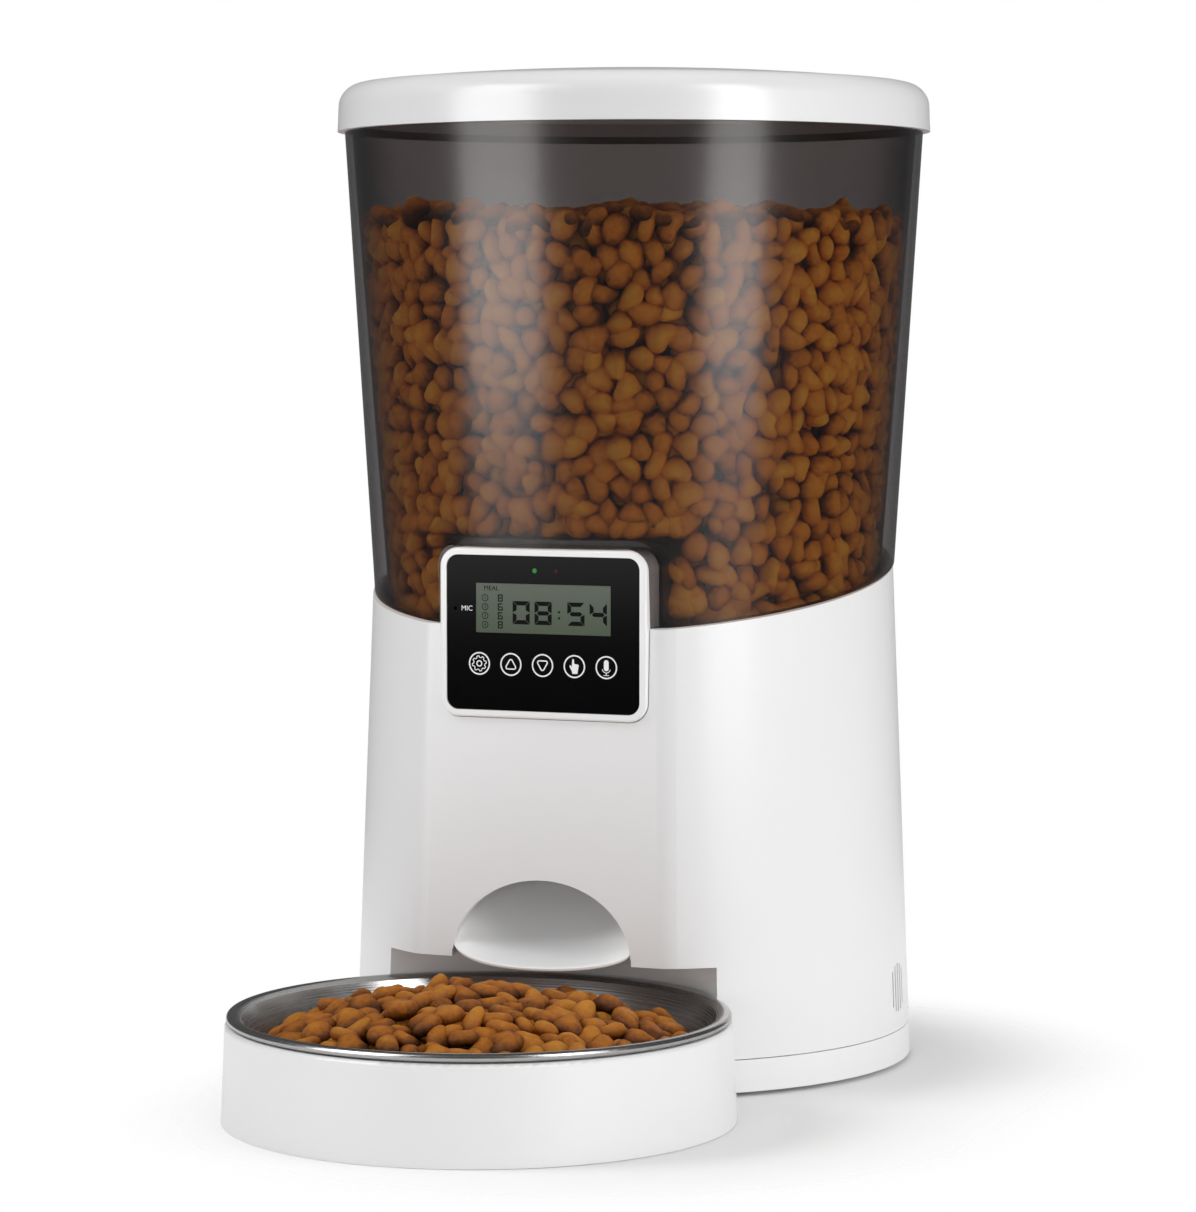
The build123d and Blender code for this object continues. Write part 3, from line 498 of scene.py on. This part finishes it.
def add_text(bm, text, size, x=0.0, z=0.0):
    """Plain lettering, centred."""
    curve = bpy.data.curves.new("lettering", "FONT")
    curve.body = text
    curve.size = size
    curve.align_x = "CENTER"
    curve.align_y = "CENTER"
    curve.resolution_u = 3
    holder = bpy.data.objects.new("lettering", curve)
    mesh = bpy.data.meshes.new_from_object(holder)
    mesh.transform(Matrix.Translation((x, z, 0)))
    bm.from_mesh(mesh)
    bpy.data.objects.remove(holder)
    bpy.data.meshes.remove(mesh)
    bpy.data.curves.remove(curve)


SEGMENTS = {"0": "abcdef", "4": "bcfg", "5": "acdfg", "6": "acdefg", "8": "abcdefg"}


def add_digit(bm, digit, x, z, width, height, line, gap):
    """Seven-segment digit with its lower left corner at x, z."""
    w, h, t, m = width, height, line, height / 2
    shapes = {
        "a": [(gap, h), (w - gap, h), (w - t - gap, h - t), (t + gap, h - t)],
        "d": [(gap, 0), (t + gap, t), (w - t - gap, t), (w - gap, 0)],
        "b": [(w, h - gap), (w, m + gap), (w - t, m + t / 2 + gap), (w - t, h - t - gap)],
        "c": [(w, m - gap), (w, gap), (w - t, t + gap), (w - t, m - t / 2 - gap)],
        "e": [(0, m - gap), (t, m - t / 2 - gap), (t, t + gap), (0, gap)],
        "f": [(0, h - gap), (t, h - t - gap), (t, m + t / 2 + gap), (0, m + gap)],
        "g": [(t / 2 + gap, m), (t + gap, m + t / 2), (w - t - gap, m + t / 2), (w - t / 2 - gap, m),
              (w - t - gap, m - t / 2), (t + gap, m - t / 2)],
    }
    for name in SEGMENTS[digit]:
        add_patch(bm, [(x + a, z + b) for a, b in shapes[name]])


def draw_display(bm):
    """Clock and meal list, in millimetres from the display's lower left corner."""
    wide = (LCD_HIGH.x - LCD_LOW.x) / MM
    high = (LCD_HIGH.z - LCD_LOW.z) / MM
    for digit, left in (("0", 0.275), ("8", 0.438), ("5", 0.681), ("4", 0.846)):
        add_digit(bm, digit, left * wide, 0.185 * high, width=6.6, height=8.3, line=1.5, gap=0.11)
    for dot in (0.33, 0.45):
        add_patch(bm, ring_points(0.42, 16, 0.62 * wide, dot * high))
    for row, digit in enumerate("8668"):
        z = (0.70 - 0.18 * row) * high
        add_digit(bm, digit, 0.164 * wide, z - 1.25, width=1.9, height=2.6, line=0.42, gap=0.03)
        add_stroke(bm, ring_points(1.15, 28, 0.068 * wide, z), 0.24)
        add_text(bm, str(row + 1), 1.7, 0.068 * wide, z)
    add_text(bm, "MEAL", 2.4, 0.115 * wide, 0.895 * high)


def draw_rings(bm):
    """Rings round the five keys."""
    for key in KEYS:
        add_stroke(bm, ring_points(3.87, 72, (middle(key).x - middle("key_down").x) / MM), 0.52)


def draw_gear(bm):
    """Cog wheel with a hub."""
    teeth, count = 8, 96
    outline = []
    for k in range(count):
        wave = math.sin(teeth * 2 * math.pi * k / count)
        radius = 2.45 + 0.28 * max(-1.0, min(1.0, 2.2 * wave))
        angle = 2 * math.pi * k / count
        outline.append((radius * math.cos(angle), radius * math.sin(angle)))
    add_stroke(bm, outline, 0.3)
    add_stroke(bm, ring_points(0.95, 32), 0.42)


def draw_triangle(bm, way):
    """Rounded triangle that points up or down."""
    points = []
    for k in range(3):
        toward = 90 + 120 * k
        corner = (1.45 * math.cos(math.radians(toward)), 1.45 * math.sin(math.radians(toward)))
        points += ring_points(0.62, 7, *corner, start=toward - 60, sweep=120)
    add_stroke(bm, [(x, way * (z - 0.3)) for x, z in points], 0.45)


def draw_up(bm):
    """Triangle that points up."""
    draw_triangle(bm, 1)


def draw_down(bm):
    """Triangle that points down."""
    draw_triangle(bm, -1)


def draw_hand(bm):
    """Hand with its forefinger up."""
    finger = [(-0.95, -0.2), (-0.75, 2.5), (-0.45, 2.75), (-0.12, 2.55), (0.0, 0.95)]
    palm = [(1.5, 0.75), (1.75, 0.4), (1.4, -1.5), (1.2, -2.6), (-0.75, -2.6), (-0.95, -1.6)]
    thumb = [(-1.75, -0.3), (-1.8, 0.35), (-1.35, 0.45)]
    add_patch(bm, finger + palm + thumb)


def draw_microphone(bm):
    """Studio microphone on a foot."""
    capsule = ring_points(0.92, 18, 0, 1.75, 0, 180) + ring_points(0.92, 18, 0, -0.35, 180, 180)
    add_patch(bm, capsule)
    add_stroke(bm, ring_points(1.55, 24, 0, -0.35, 190, 160), 0.26, closed=False)
    add_stroke(bm, [(0, -1.9), (0, -2.75)], 0.26, closed=False)
    add_stroke(bm, [(-1.05, -2.8), (1.05, -2.8)], 0.26, closed=False)


def draw_mic_label(bm):
    """Plain label beside the microphone's hole."""
    add_text(bm, "MIC", 2.6)


# ---- materials -------------------------------------------------------------------------------
def new_material(name):
    """Material with a Principled shader, its tree and object coordinates in millimetres."""
    material = bpy.data.materials.new(name)
    material.use_nodes = True
    tree = material.node_tree
    shader = tree.nodes["Principled BSDF"]
    place = tree.nodes.new("ShaderNodeTexCoord")
    scale = tree.nodes.new("ShaderNodeVectorMath")
    scale.operation = "SCALE"
    scale.inputs["Scale"].default_value = 1 / MM
    tree.links.new(place.outputs["Object"], scale.inputs[0])
    return material, tree, shader, scale.outputs[0]


def noise(tree, where, size, detail=3.0, rough=0.55):
    """Noise with features of that size in millimetres."""
    node = tree.nodes.new("ShaderNodeTexNoise")
    node.inputs["Scale"].default_value = 1 / size
    node.inputs["Detail"].default_value = detail
    node.inputs["Roughness"].default_value = rough
    tree.links.new(where, node.inputs["Vector"])
    return node.outputs["Fac"]


def ramp(tree, value, stops):
    """Colour ramp from (position, colour) stops."""
    node = tree.nodes.new("ShaderNodeValToRGB")
    while len(node.color_ramp.elements) < len(stops):
        node.color_ramp.elements.new(0.5)
    for element, (position, colour) in zip(node.color_ramp.elements, stops):
        element.position = position
        element.color = (*colour, 1)
    tree.links.new(value, node.inputs["Fac"])
    return node.outputs["Color"]


def two_tone(tree, value, colour, dark, light):
    """A colour that wanders between a darker and a lighter shade of itself."""
    return ramp(tree, value, [(0.3, shade(colour, dark)), (0.7, shade(colour, light))])


def span(tree, value, low, high, source=(0.3, 0.7), course="LINEAR"):
    """Value mapped from a source range to another range."""
    node = tree.nodes.new("ShaderNodeMapRange")
    node.interpolation_type = course
    node.inputs["From Min"].default_value = source[0]
    node.inputs["From Max"].default_value = source[1]
    node.inputs["To Min"].default_value = low
    node.inputs["To Max"].default_value = high
    tree.links.new(value, node.inputs["Value"])
    return node.outputs["Result"]


def bump(tree, shader, height, depth, strength=1.0):
    """Bump of that depth in millimetres."""
    node = tree.nodes.new("ShaderNodeBump")
    node.inputs["Strength"].default_value = strength
    node.inputs["Distance"].default_value = depth * MM
    tree.links.new(height, node.inputs["Height"])
    tree.links.new(node.outputs["Normal"], shader.inputs["Normal"])


def calculated(tree, operation, *values):
    """Math node's result; each value is a number or another node's output."""
    node = tree.nodes.new("ShaderNodeMath")
    node.operation = operation
    for socket, value in zip(node.inputs, values):
        if isinstance(value, (int, float)):
            socket.default_value = value
        else:
            tree.links.new(value, socket)
    return node.outputs[0]


def apart(tree, where):
    """Outputs X, Y and Z of a position."""
    node = tree.nodes.new("ShaderNodeSeparateXYZ")
    tree.links.new(where, node.inputs[0])
    return node.outputs


def blended(tree, share, first, second):
    """Mix of two shaders' outputs."""
    node = tree.nodes.new("ShaderNodeMixShader")
    tree.links.new(share, node.inputs["Fac"])
    tree.links.new(first, node.inputs[1])
    tree.links.new(second, node.inputs[2])
    return node.outputs[0]


def shade(colour, factor):
    """Colour made darker or lighter."""
    return tuple(min(1.0, c * factor) for c in colour)


def plastic(name, colour, rough, grain=0.5, depth=0.002, vary=0.008, coat=0.0, mirror=0.5):
    """Moulded plastic: fine grain and faint clouding."""
    material, tree, shader, where = new_material(name)
    cloud = noise(tree, where, 60.0, 4.0)
    tree.links.new(two_tone(tree, cloud, colour, 1 - vary, 1 + vary), shader.inputs["Base Color"])
    shader.inputs["Roughness"].default_value = rough
    bump(tree, shader, noise(tree, where, grain, 2.0), depth)
    shader.inputs["IOR"].default_value = 1.48
    shader.inputs["Specular IOR Level"].default_value = mirror
    shader.inputs["Coat Weight"].default_value = coat
    shader.inputs["Coat Roughness"].default_value = 0.12
    return material


def metal(name, colour, rough):
    """Plain worked metal."""
    material, tree, shader, where = new_material(name)
    shader.inputs["Metallic"].default_value = 1
    tree.links.new(two_tone(tree, noise(tree, where, 6.0), colour, 0.94, 1.06), shader.inputs["Base Color"])
    grain = noise(tree, where, 0.5)
    tree.links.new(span(tree, grain, rough - 0.06, rough + 0.08), shader.inputs["Roughness"])
    bump(tree, shader, grain, 0.01)
    return material


def turned_steel(name, colour, rough):
    """Steel brushed in circles round the bowl's axis."""
    material, tree, shader, where = new_material(name)
    shader.inputs["Metallic"].default_value = 1
    place = apart(tree, where)
    flat = tree.nodes.new("ShaderNodeCombineXYZ")
    tree.links.new(place["X"], flat.inputs["X"])
    tree.links.new(calculated(tree, "SUBTRACT", place["Y"], BOWL_Y / MM), flat.inputs["Y"])
    length = tree.nodes.new("ShaderNodeVectorMath")
    length.operation = "LENGTH"
    tree.links.new(flat.outputs[0], length.inputs[0])
    lines = tree.nodes.new("ShaderNodeCombineXYZ")
    tree.links.new(length.outputs["Value"], lines.inputs["X"])
    tree.links.new(place["Z"], lines.inputs["Z"])
    brushed = noise(tree, lines.outputs[0], 0.35)
    tree.links.new(two_tone(tree, brushed, colour, 0.88, 1.1), shader.inputs["Base Color"])
    tree.links.new(span(tree, brushed, rough - 0.06, rough + 0.1), shader.inputs["Roughness"])
    bump(tree, shader, brushed, 0.012)
    return material


def smoked(name):
    """Smoked clear plastic: dims what is behind it, more at a slant, and mirrors softly.

    Shadows and scattered light pass almost undimmed, so that the food behind the wall is lit.
    """
    material, tree, shader, where = new_material(name)
    tree.nodes.remove(shader)
    slant = tree.nodes.new("ShaderNodeLayerWeight")
    slant.inputs["Blend"].default_value = 0.15
    clear = tree.nodes.new("ShaderNodeBsdfTransparent")
    tree.links.new(ramp(tree, slant.outputs["Facing"], [(0.0, (0.50, 0.48, 0.475)),
                                                        (0.17, (0.485, 0.465, 0.46)),
                                                        (0.36, (0.29, 0.28, 0.285)),
                                                        (0.6, (0.08, 0.08, 0.085))]),
                   clear.inputs["Color"])
    light_way = tree.nodes.new("ShaderNodeBsdfTransparent")
    light_way.inputs["Color"].default_value = (0.94, 0.94, 0.94, 1)
    gloss = tree.nodes.new("ShaderNodeBsdfGlossy")
    gloss.inputs["Color"].default_value = (1, 1, 1, 1)
    gloss.inputs["Roughness"].default_value = 0.22
    tilt = tree.nodes.new("ShaderNodeLayerWeight")
    tilt.inputs["Blend"].default_value = 0.5
    steep = calculated(tree, "POWER", tilt.outputs["Facing"], 5)
    face_on = span(tree, apart(tree, where)["Z"], 0.042, 0.024, (265.0, 335.0))
    mirror = calculated(tree, "MULTIPLY_ADD", steep, 0.9, face_on)
    surface = blended(tree, mirror, clear.outputs[0], gloss.outputs[0])
    path = tree.nodes.new("ShaderNodeLightPath")
    lighting = calculated(tree, "MAXIMUM", path.outputs["Is Shadow Ray"], path.outputs["Is Diffuse Ray"])
    mix = blended(tree, lighting, surface, light_way.outputs[0])
    tree.links.new(mix, tree.nodes["Material Output"].inputs["Surface"])
    return material


def baked_food(name, light):
    """Dry food: each kibble has its own brown, with a mealy, pitted crust and painted shade deep in the
    heap; light above 1 paints extra light on the food.
    """
    material, tree, shader, where = new_material(name)
    tone_and_shade = tree.nodes.new("ShaderNodeAttribute")
    tone_and_shade.attribute_name = "tone_and_shade"
    blotch = noise(tree, where, 2.2, 4.0, 0.62)
    both = calculated(tree, "MULTIPLY_ADD", tone_and_shade.outputs["Fac"], 0.8, span(tree, blotch, 0.0, 0.2))
    # The darkest browns are painted shade between the kibbles; light above 1 is painted light.
    browns_and_shade = [(0.12, (0.012, 0.003, 0.0004)), (0.38, (0.13, 0.036, 0.0025)),
              (0.62, (0.36, 0.112, 0.008)), (0.95, (0.52, 0.215, 0.021))]
    tree.links.new(ramp(tree, both, [(position, shade(colour, light)) for position, colour in browns_and_shade]),
                   shader.inputs["Base Color"])
    tree.links.new(span(tree, blotch, 0.42, 0.62), shader.inputs["Roughness"])
    crust = noise(tree, where, 0.8, 5.0, 0.65)
    bump(tree, shader, crust, 0.45, 0.9)
    shader.inputs["Specular IOR Level"].default_value = 0.2
    return material


def food_core(name):
    """Food deep in the heap, with painted shade between the kibbles: its brown turns almost black towards
    the edges of its cells.
    """
    material, tree, shader, where = new_material(name)
    cells = tree.nodes.new("ShaderNodeTexVoronoi")
    cells.inputs["Scale"].default_value = 1 / 9.0
    tree.links.new(where, cells.inputs["Vector"])
    between = cells.outputs["Distance"]
    # Painted shade: dark brown to near black away from each cell's middle.
    tree.links.new(ramp(tree, between, [(0.0, (0.30, 0.12, 0.02)), (0.6, (0.05, 0.02, 0.006))]),
                   shader.inputs["Base Color"])
    bump(tree, shader, between, -3.0)
    shader.inputs["Roughness"].default_value = 0.8
    return material


def lamp_lens(name, colour, glow):
    """Lens of a small indicator lamp."""
    material, tree, shader, where = new_material(name)
    tint = two_tone(tree, noise(tree, where, 0.6), colour, 0.8, 1.2)
    tree.links.new(tint, shader.inputs["Base Color"])
    tree.links.new(tint, shader.inputs["Emission Color"])
    shader.inputs["Emission Strength"].default_value = glow
    shader.inputs["Roughness"].default_value = 0.3
    shader.inputs["Specular IOR Level"].default_value = 0.08
    return material


def lcd_glass(name):
    """Reflective display: grey green, with painted light that makes it a little lighter towards its top."""
    material, tree, shader, where = new_material(name)
    # Painted light: the display is lighter towards its top.
    height = span(tree, apart(tree, where)["Z"], 0.0, 1.0, (LCD_LOW.z / MM, LCD_HIGH.z / MM))
    mixed = calculated(tree, "MULTIPLY_ADD", noise(tree, where, 0.5), 0.15, height)
    tree.links.new(ramp(tree, mixed, [(0.0, (0.070, 0.094, 0.060)), (1.0, (0.115, 0.135, 0.107))]),
                   shader.inputs["Base Color"])
    shader.inputs["Roughness"].default_value = 0.3
    shader.inputs["Specular IOR Level"].default_value = 0.12
    return material


def circuit(name):
    """Green solder resist with copper tracks under it."""
    material, tree, shader, where = new_material(name)
    tracks = tree.nodes.new("ShaderNodeTexBrick")
    tracks.inputs["Scale"].default_value = 0.22
    tracks.inputs["Mortar Size"].default_value = 0.012
    tracks.inputs["Color1"].default_value = (0.012, 0.09, 0.03, 1)
    tracks.inputs["Color2"].default_value = (0.014, 0.11, 0.036, 1)
    tracks.inputs["Mortar"].default_value = (0.04, 0.2, 0.06, 1)
    tree.links.new(where, tracks.inputs["Vector"])
    tree.links.new(tracks.outputs["Color"], shader.inputs["Base Color"])
    tree.links.new(span(tree, noise(tree, where, 1.0), 0.3, 0.45), shader.inputs["Roughness"])
    return material


PANEL_BLACK = (0.002, 0.002, 0.0022)
finishes = {
    "white_shell": plastic("white_shell", (0.81, 0.81, 0.815), 0.34, coat=0.1),
    "white_plate": plastic("white_plate", (0.83, 0.83, 0.835), 0.36),
    "white_holder": plastic("white_holder", (0.79, 0.79, 0.79), 0.33, coat=0.1),
    "white_lid": plastic("white_lid", (0.80, 0.80, 0.805), 0.28, coat=0.2),
    # The scoop's white is lighter than the shell's: painted light for the dim, deep scoop.
    "white_chute": plastic("white_chute", (0.93, 0.93, 0.93), 0.38),
    "bezel_white": plastic("bezel_white", (0.90, 0.90, 0.90), 0.25, coat=0.25),
    "inner_white": plastic("inner_white", (0.78, 0.78, 0.77), 0.42),
    "black_panel": plastic("black_panel", PANEL_BLACK, 0.12, depth=0.001, vary=0.2, mirror=0.055),
    "key_black": plastic("key_black", PANEL_BLACK, 0.13, depth=0.001, vary=0.2, mirror=0.055),
    "lcd": lcd_glass("lcd"),
    "led_green": lamp_lens("led_green", (0.03, 0.24, 0.045), 0.25),
    "led_red": lamp_lens("led_red", (0.05, 0.004, 0.004), 0.05),
    "microphone_grey": plastic("microphone_grey", (0.01, 0.01, 0.01), 0.5),
    "circuit_board": circuit("circuit_board"),
    "switch_black": plastic("switch_black", (0.02, 0.02, 0.022), 0.4),
    "gearbox_grey": plastic("gearbox_grey", (0.20, 0.21, 0.22), 0.45),
    "rotor_blue_grey": plastic("rotor_blue_grey", (0.16, 0.22, 0.28), 0.42),
    "gear_plastic": plastic("gear_plastic", (0.75, 0.73, 0.66), 0.4),
    "seal_silicone": plastic("seal_silicone", (0.45, 0.46, 0.47), 0.5, grain=0.8),
    "desiccant_fabric": plastic("desiccant_fabric", (0.82, 0.81, 0.78), 0.85, grain=0.5, depth=0.12),
    "cell_jacket": plastic("cell_jacket", (0.04, 0.06, 0.10), 0.3, vary=0.1),
    "speaker_black": plastic("speaker_black", (0.30, 0.30, 0.30), 0.6, grain=0.6, depth=0.1),
    "foot_rubber": plastic("foot_rubber", (0.06, 0.06, 0.062), 0.8, grain=0.6, depth=0.05),
    "steel": metal("steel", (0.60, 0.60, 0.60), 0.3),
    "motor_steel": metal("motor_steel", (0.52, 0.53, 0.54), 0.32),
    "brass": metal("brass", (0.72, 0.52, 0.22), 0.3),
    "contact_spring": metal("contact_spring", (0.66, 0.66, 0.64), 0.25),
    "bowl_steel": turned_steel("bowl_steel", (0.42, 0.415, 0.41), 0.24),
    "smoked_clear": smoked("smoked_clear"),
}
# Food behind the smoked wall is painted 2.2 times lighter: painted light in place of the light that the
# wall takes away.
food_painted_lighter = baked_food("dry_food", 2.2)
in_the_open = baked_food("dry_food_bowl", 1.0)
food_core_painted_shade = food_core("dry_food_core")
print_white = plastic("print_white", (0.88, 0.88, 0.88), 0.45)
segment_black = plastic("segment_black", (0.003, 0.004, 0.003), 0.5, vary=0.15, mirror=0.05)

for node in nodes.values():
    slot = node.data.materials[0].name
    node.material_slots[0].material = finishes[slot]

# ---- pieces ------------------------------------------------------------------------------------
for piece in hopper_food():
    finish_piece(piece, "hopper", food_painted_lighter)
finish_piece(hopper_core(), "hopper", food_core_painted_shade)
finish_piece(bowl_food(), "bowl", in_the_open)
finish_piece(bowl_core(), "bowl", food_core_painted_shade)

lip = scoop()
finish_piece(lip, "base", finishes["white_chute"])
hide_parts("chute")

ICONS = (draw_gear, draw_up, draw_down, draw_hand, draw_microphone)
finish_piece(printed("display_marks", draw_display, LCD_LOW.x, LCD_LOW.z, LCD_LOW.y), "base", segment_black)
finish_piece(printed("key_rings", draw_rings, 0, KEY_Z, PANEL_FACE), "base", print_white)
for key, icon in zip(KEYS, ICONS):
    mark = printed(key + "_mark", icon, middle(key).x, KEY_Z, KEY_FACE)
    finish_piece(mark, nodes[key]["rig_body"], print_white)
beside = middle("microphone") + Vector((4.5 * MM, 0, 0))
finish_piece(printed("mic_label", draw_mic_label, beside.x, beside.z, PANEL_FACE), "base", print_white)


# ---- studio ------------------------------------------------------------------------------------
def around(azimuth, distance, height):
    """Point round the feeder's axis; azimuth 0 is in front and 90 is on its +X side."""
    angle = math.radians(azimuth)
    return Vector((distance * math.sin(angle), AXIS_Y - distance * math.cos(angle), height))


def softbox(name, place, target, width, height, watts, diffuse=True, glossy=True):
    """Rectangular lamp that looks at a target."""
    data = bpy.data.lights.new(name, "AREA")
    data.shape = "RECTANGLE"
    data.size, data.size_y = width, height
    data.energy = watts
    lamp = bpy.data.objects.new(name, data)
    lamp.location = place
    lamp.rotation_euler = (target - place).to_track_quat("-Z", "Y").to_euler()
    lamp.visible_camera = False
    lamp.visible_diffuse = diffuse
    lamp.visible_glossy = glossy
    bpy.context.scene.collection.objects.link(lamp)


def floor_distance(tree, where):
    """Millimetres from the line under the feeder, which lies a little to the right of its middle."""
    line_x = 30
    between = tree.nodes.new("ShaderNodeClamp")
    between.inputs["Min"].default_value = BOWL_Y / MM + 22
    between.inputs["Max"].default_value = AXIS_Y / MM
    tree.links.new(apart(tree, where)["Y"], between.inputs["Value"])
    nearest = tree.nodes.new("ShaderNodeCombineXYZ")
    nearest.inputs["X"].default_value = line_x
    tree.links.new(between.outputs[0], nearest.inputs["Y"])
    away = tree.nodes.new("ShaderNodeVectorMath")
    away.operation = "DISTANCE"
    tree.links.new(where, away.inputs[0])
    tree.links.new(nearest.outputs[0], away.inputs[1])
    return away.outputs["Value"]


def backdrop():
    """Round white floor that fades into the white of the studio.

    It ends close to the feeder's shadow to the eye, and farther out where it only returns light. It glows
    less near the feeder, which paints a shadow round its foot.
    """
    turns, rings = 96, (0.0, 0.2, 0.4, 0.7, 1.1, 1.6, 2.2)
    fade_seen, fade_as_light, painted_shadow_glow = (84.0, 172.0), (350.0, 900.0), (90.0, 200.0)
    vertices = [(0, 0, 0)]
    for radius in rings[1:]:
        angles = np.linspace(0, 2 * math.pi, turns, endpoint=False)
        vertices += [(radius * math.cos(a), radius * math.sin(a), 0) for a in angles]
    faces = [(0, 1 + k, 1 + (k + 1) % turns) for k in range(turns)]
    for row in range(len(rings) - 2):
        a, b = 1 + row * turns, 1 + (row + 1) * turns
        faces += [(a + k, b + k, b + (k + 1) % turns, a + (k + 1) % turns) for k in range(turns)]
    floor = add_mesh("studio_floor", vertices, faces)
    floor.location.z = -0.2 * MM
    material, tree, shader, where = new_material("studio_floor")
    cloud = noise(tree, where, 300.0)
    tree.links.new(ramp(tree, cloud, [(0.3, (0.81, 0.81, 0.81)), (0.7, (0.83, 0.83, 0.83))]),
                   shader.inputs["Base Color"])
    shader.inputs["Roughness"].default_value = 0.9
    shader.inputs["Specular IOR Level"].default_value = 0.0
    shader.inputs["Emission Color"].default_value = (1, 1, 1, 1)
    away = floor_distance(tree, where)
    path = tree.nodes.new("ShaderNodeLightPath")
    either = tree.nodes.new("ShaderNodeMix")
    tree.links.new(path.outputs["Is Camera Ray"], either.inputs["Factor"])
    tree.links.new(span(tree, away, 1.0, 0.0, fade_as_light), either.inputs["A"])
    tree.links.new(span(tree, away, 1.0, 0.0, fade_seen, "SMOOTHSTEP"), either.inputs["B"])
    tree.links.new(either.outputs["Result"], shader.inputs["Alpha"])
    # Painted shadow: a faint glow near the feeder that rises farther out.
    tree.links.new(span(tree, away, 0.02, 0.24, painted_shadow_glow), shader.inputs["Emission Strength"])
    floor.data.materials.append(material)


def studio_world():
    """White to the camera; softer as light, and dim in mirrors."""
    world = bpy.data.worlds.new("studio")
    bpy.context.scene.world = world
    world.use_nodes = True
    tree = world.node_tree
    sky = tree.nodes["Background"]
    path = tree.nodes.new("ShaderNodeLightPath")
    seen = span(tree, path.outputs["Is Camera Ray"], 0.42, 1.0, (0.0, 1.0))
    mirrored = span(tree, path.outputs["Is Glossy Ray"], 1.0, 0.25, (0.0, 1.0))
    tree.links.new(calculated(tree, "MULTIPLY", seen, mirrored), sky.inputs["Strength"])
    sky.inputs["Color"].default_value = (1, 1, 1, 1)


def camera():
    """Long lens a little above the hopper's middle, from the front right."""
    azimuth, distance, height = 21.41, 1.57406, 0.27855
    past_axis, down = 0.486, 4.010
    heading = math.radians(azimuth + past_axis)
    pitch = math.radians(down)
    data = bpy.data.cameras.new("camera")
    data.sensor_width = 36
    data.lens = 124.55
    data.clip_start, data.clip_end = 0.05, 50
    eye = bpy.data.objects.new("camera", data)
    eye.location = around(azimuth, distance, height)
    level = math.cos(pitch)
    forward = Vector((-math.sin(heading) * level, math.cos(heading) * level, -math.sin(pitch)))
    eye.rotation_euler = forward.to_track_quat("-Z", "Y").to_euler()
    bpy.context.scene.collection.objects.link(eye)
    bpy.context.scene.camera = eye


backdrop()
studio_world()
camera()
aim_high = Vector((0, AXIS_Y, 0.2))
aim_low = Vector((0, AXIS_Y, 0.1))
overhead = Vector((0, AXIS_Y - 0.1, 1.7))
below = Vector((0, AXIS_Y - 0.1, 0))
band_high = 1.6
band_z = 0.09 + band_high / 2
bands = Vector((0, AXIS_Y, band_z))
softbox("key_left", around(-60, 1.3, 1.3), aim_high, 0.7, 0.7, 9.3, glossy=False)
softbox("front", around(8, 1.4, 0.14), aim_low, 0.8, 0.3, 2.5, glossy=False)
softbox("fill_right", around(85, 1.6, 0.6), aim_high, 0.9, 1.2, 12.5, glossy=False)
softbox("top", overhead, below, 1.2, 1.2, 6, glossy=False)
softbox("band_left", around(-32, 1.4, band_z), bands, 0.85, band_high, 24, diffuse=False)
softbox("band_right", around(61, 1.4, band_z), bands, 0.55, band_high, 17, diffuse=False)
bpy.context.scene.view_settings.view_transform = "Standard"
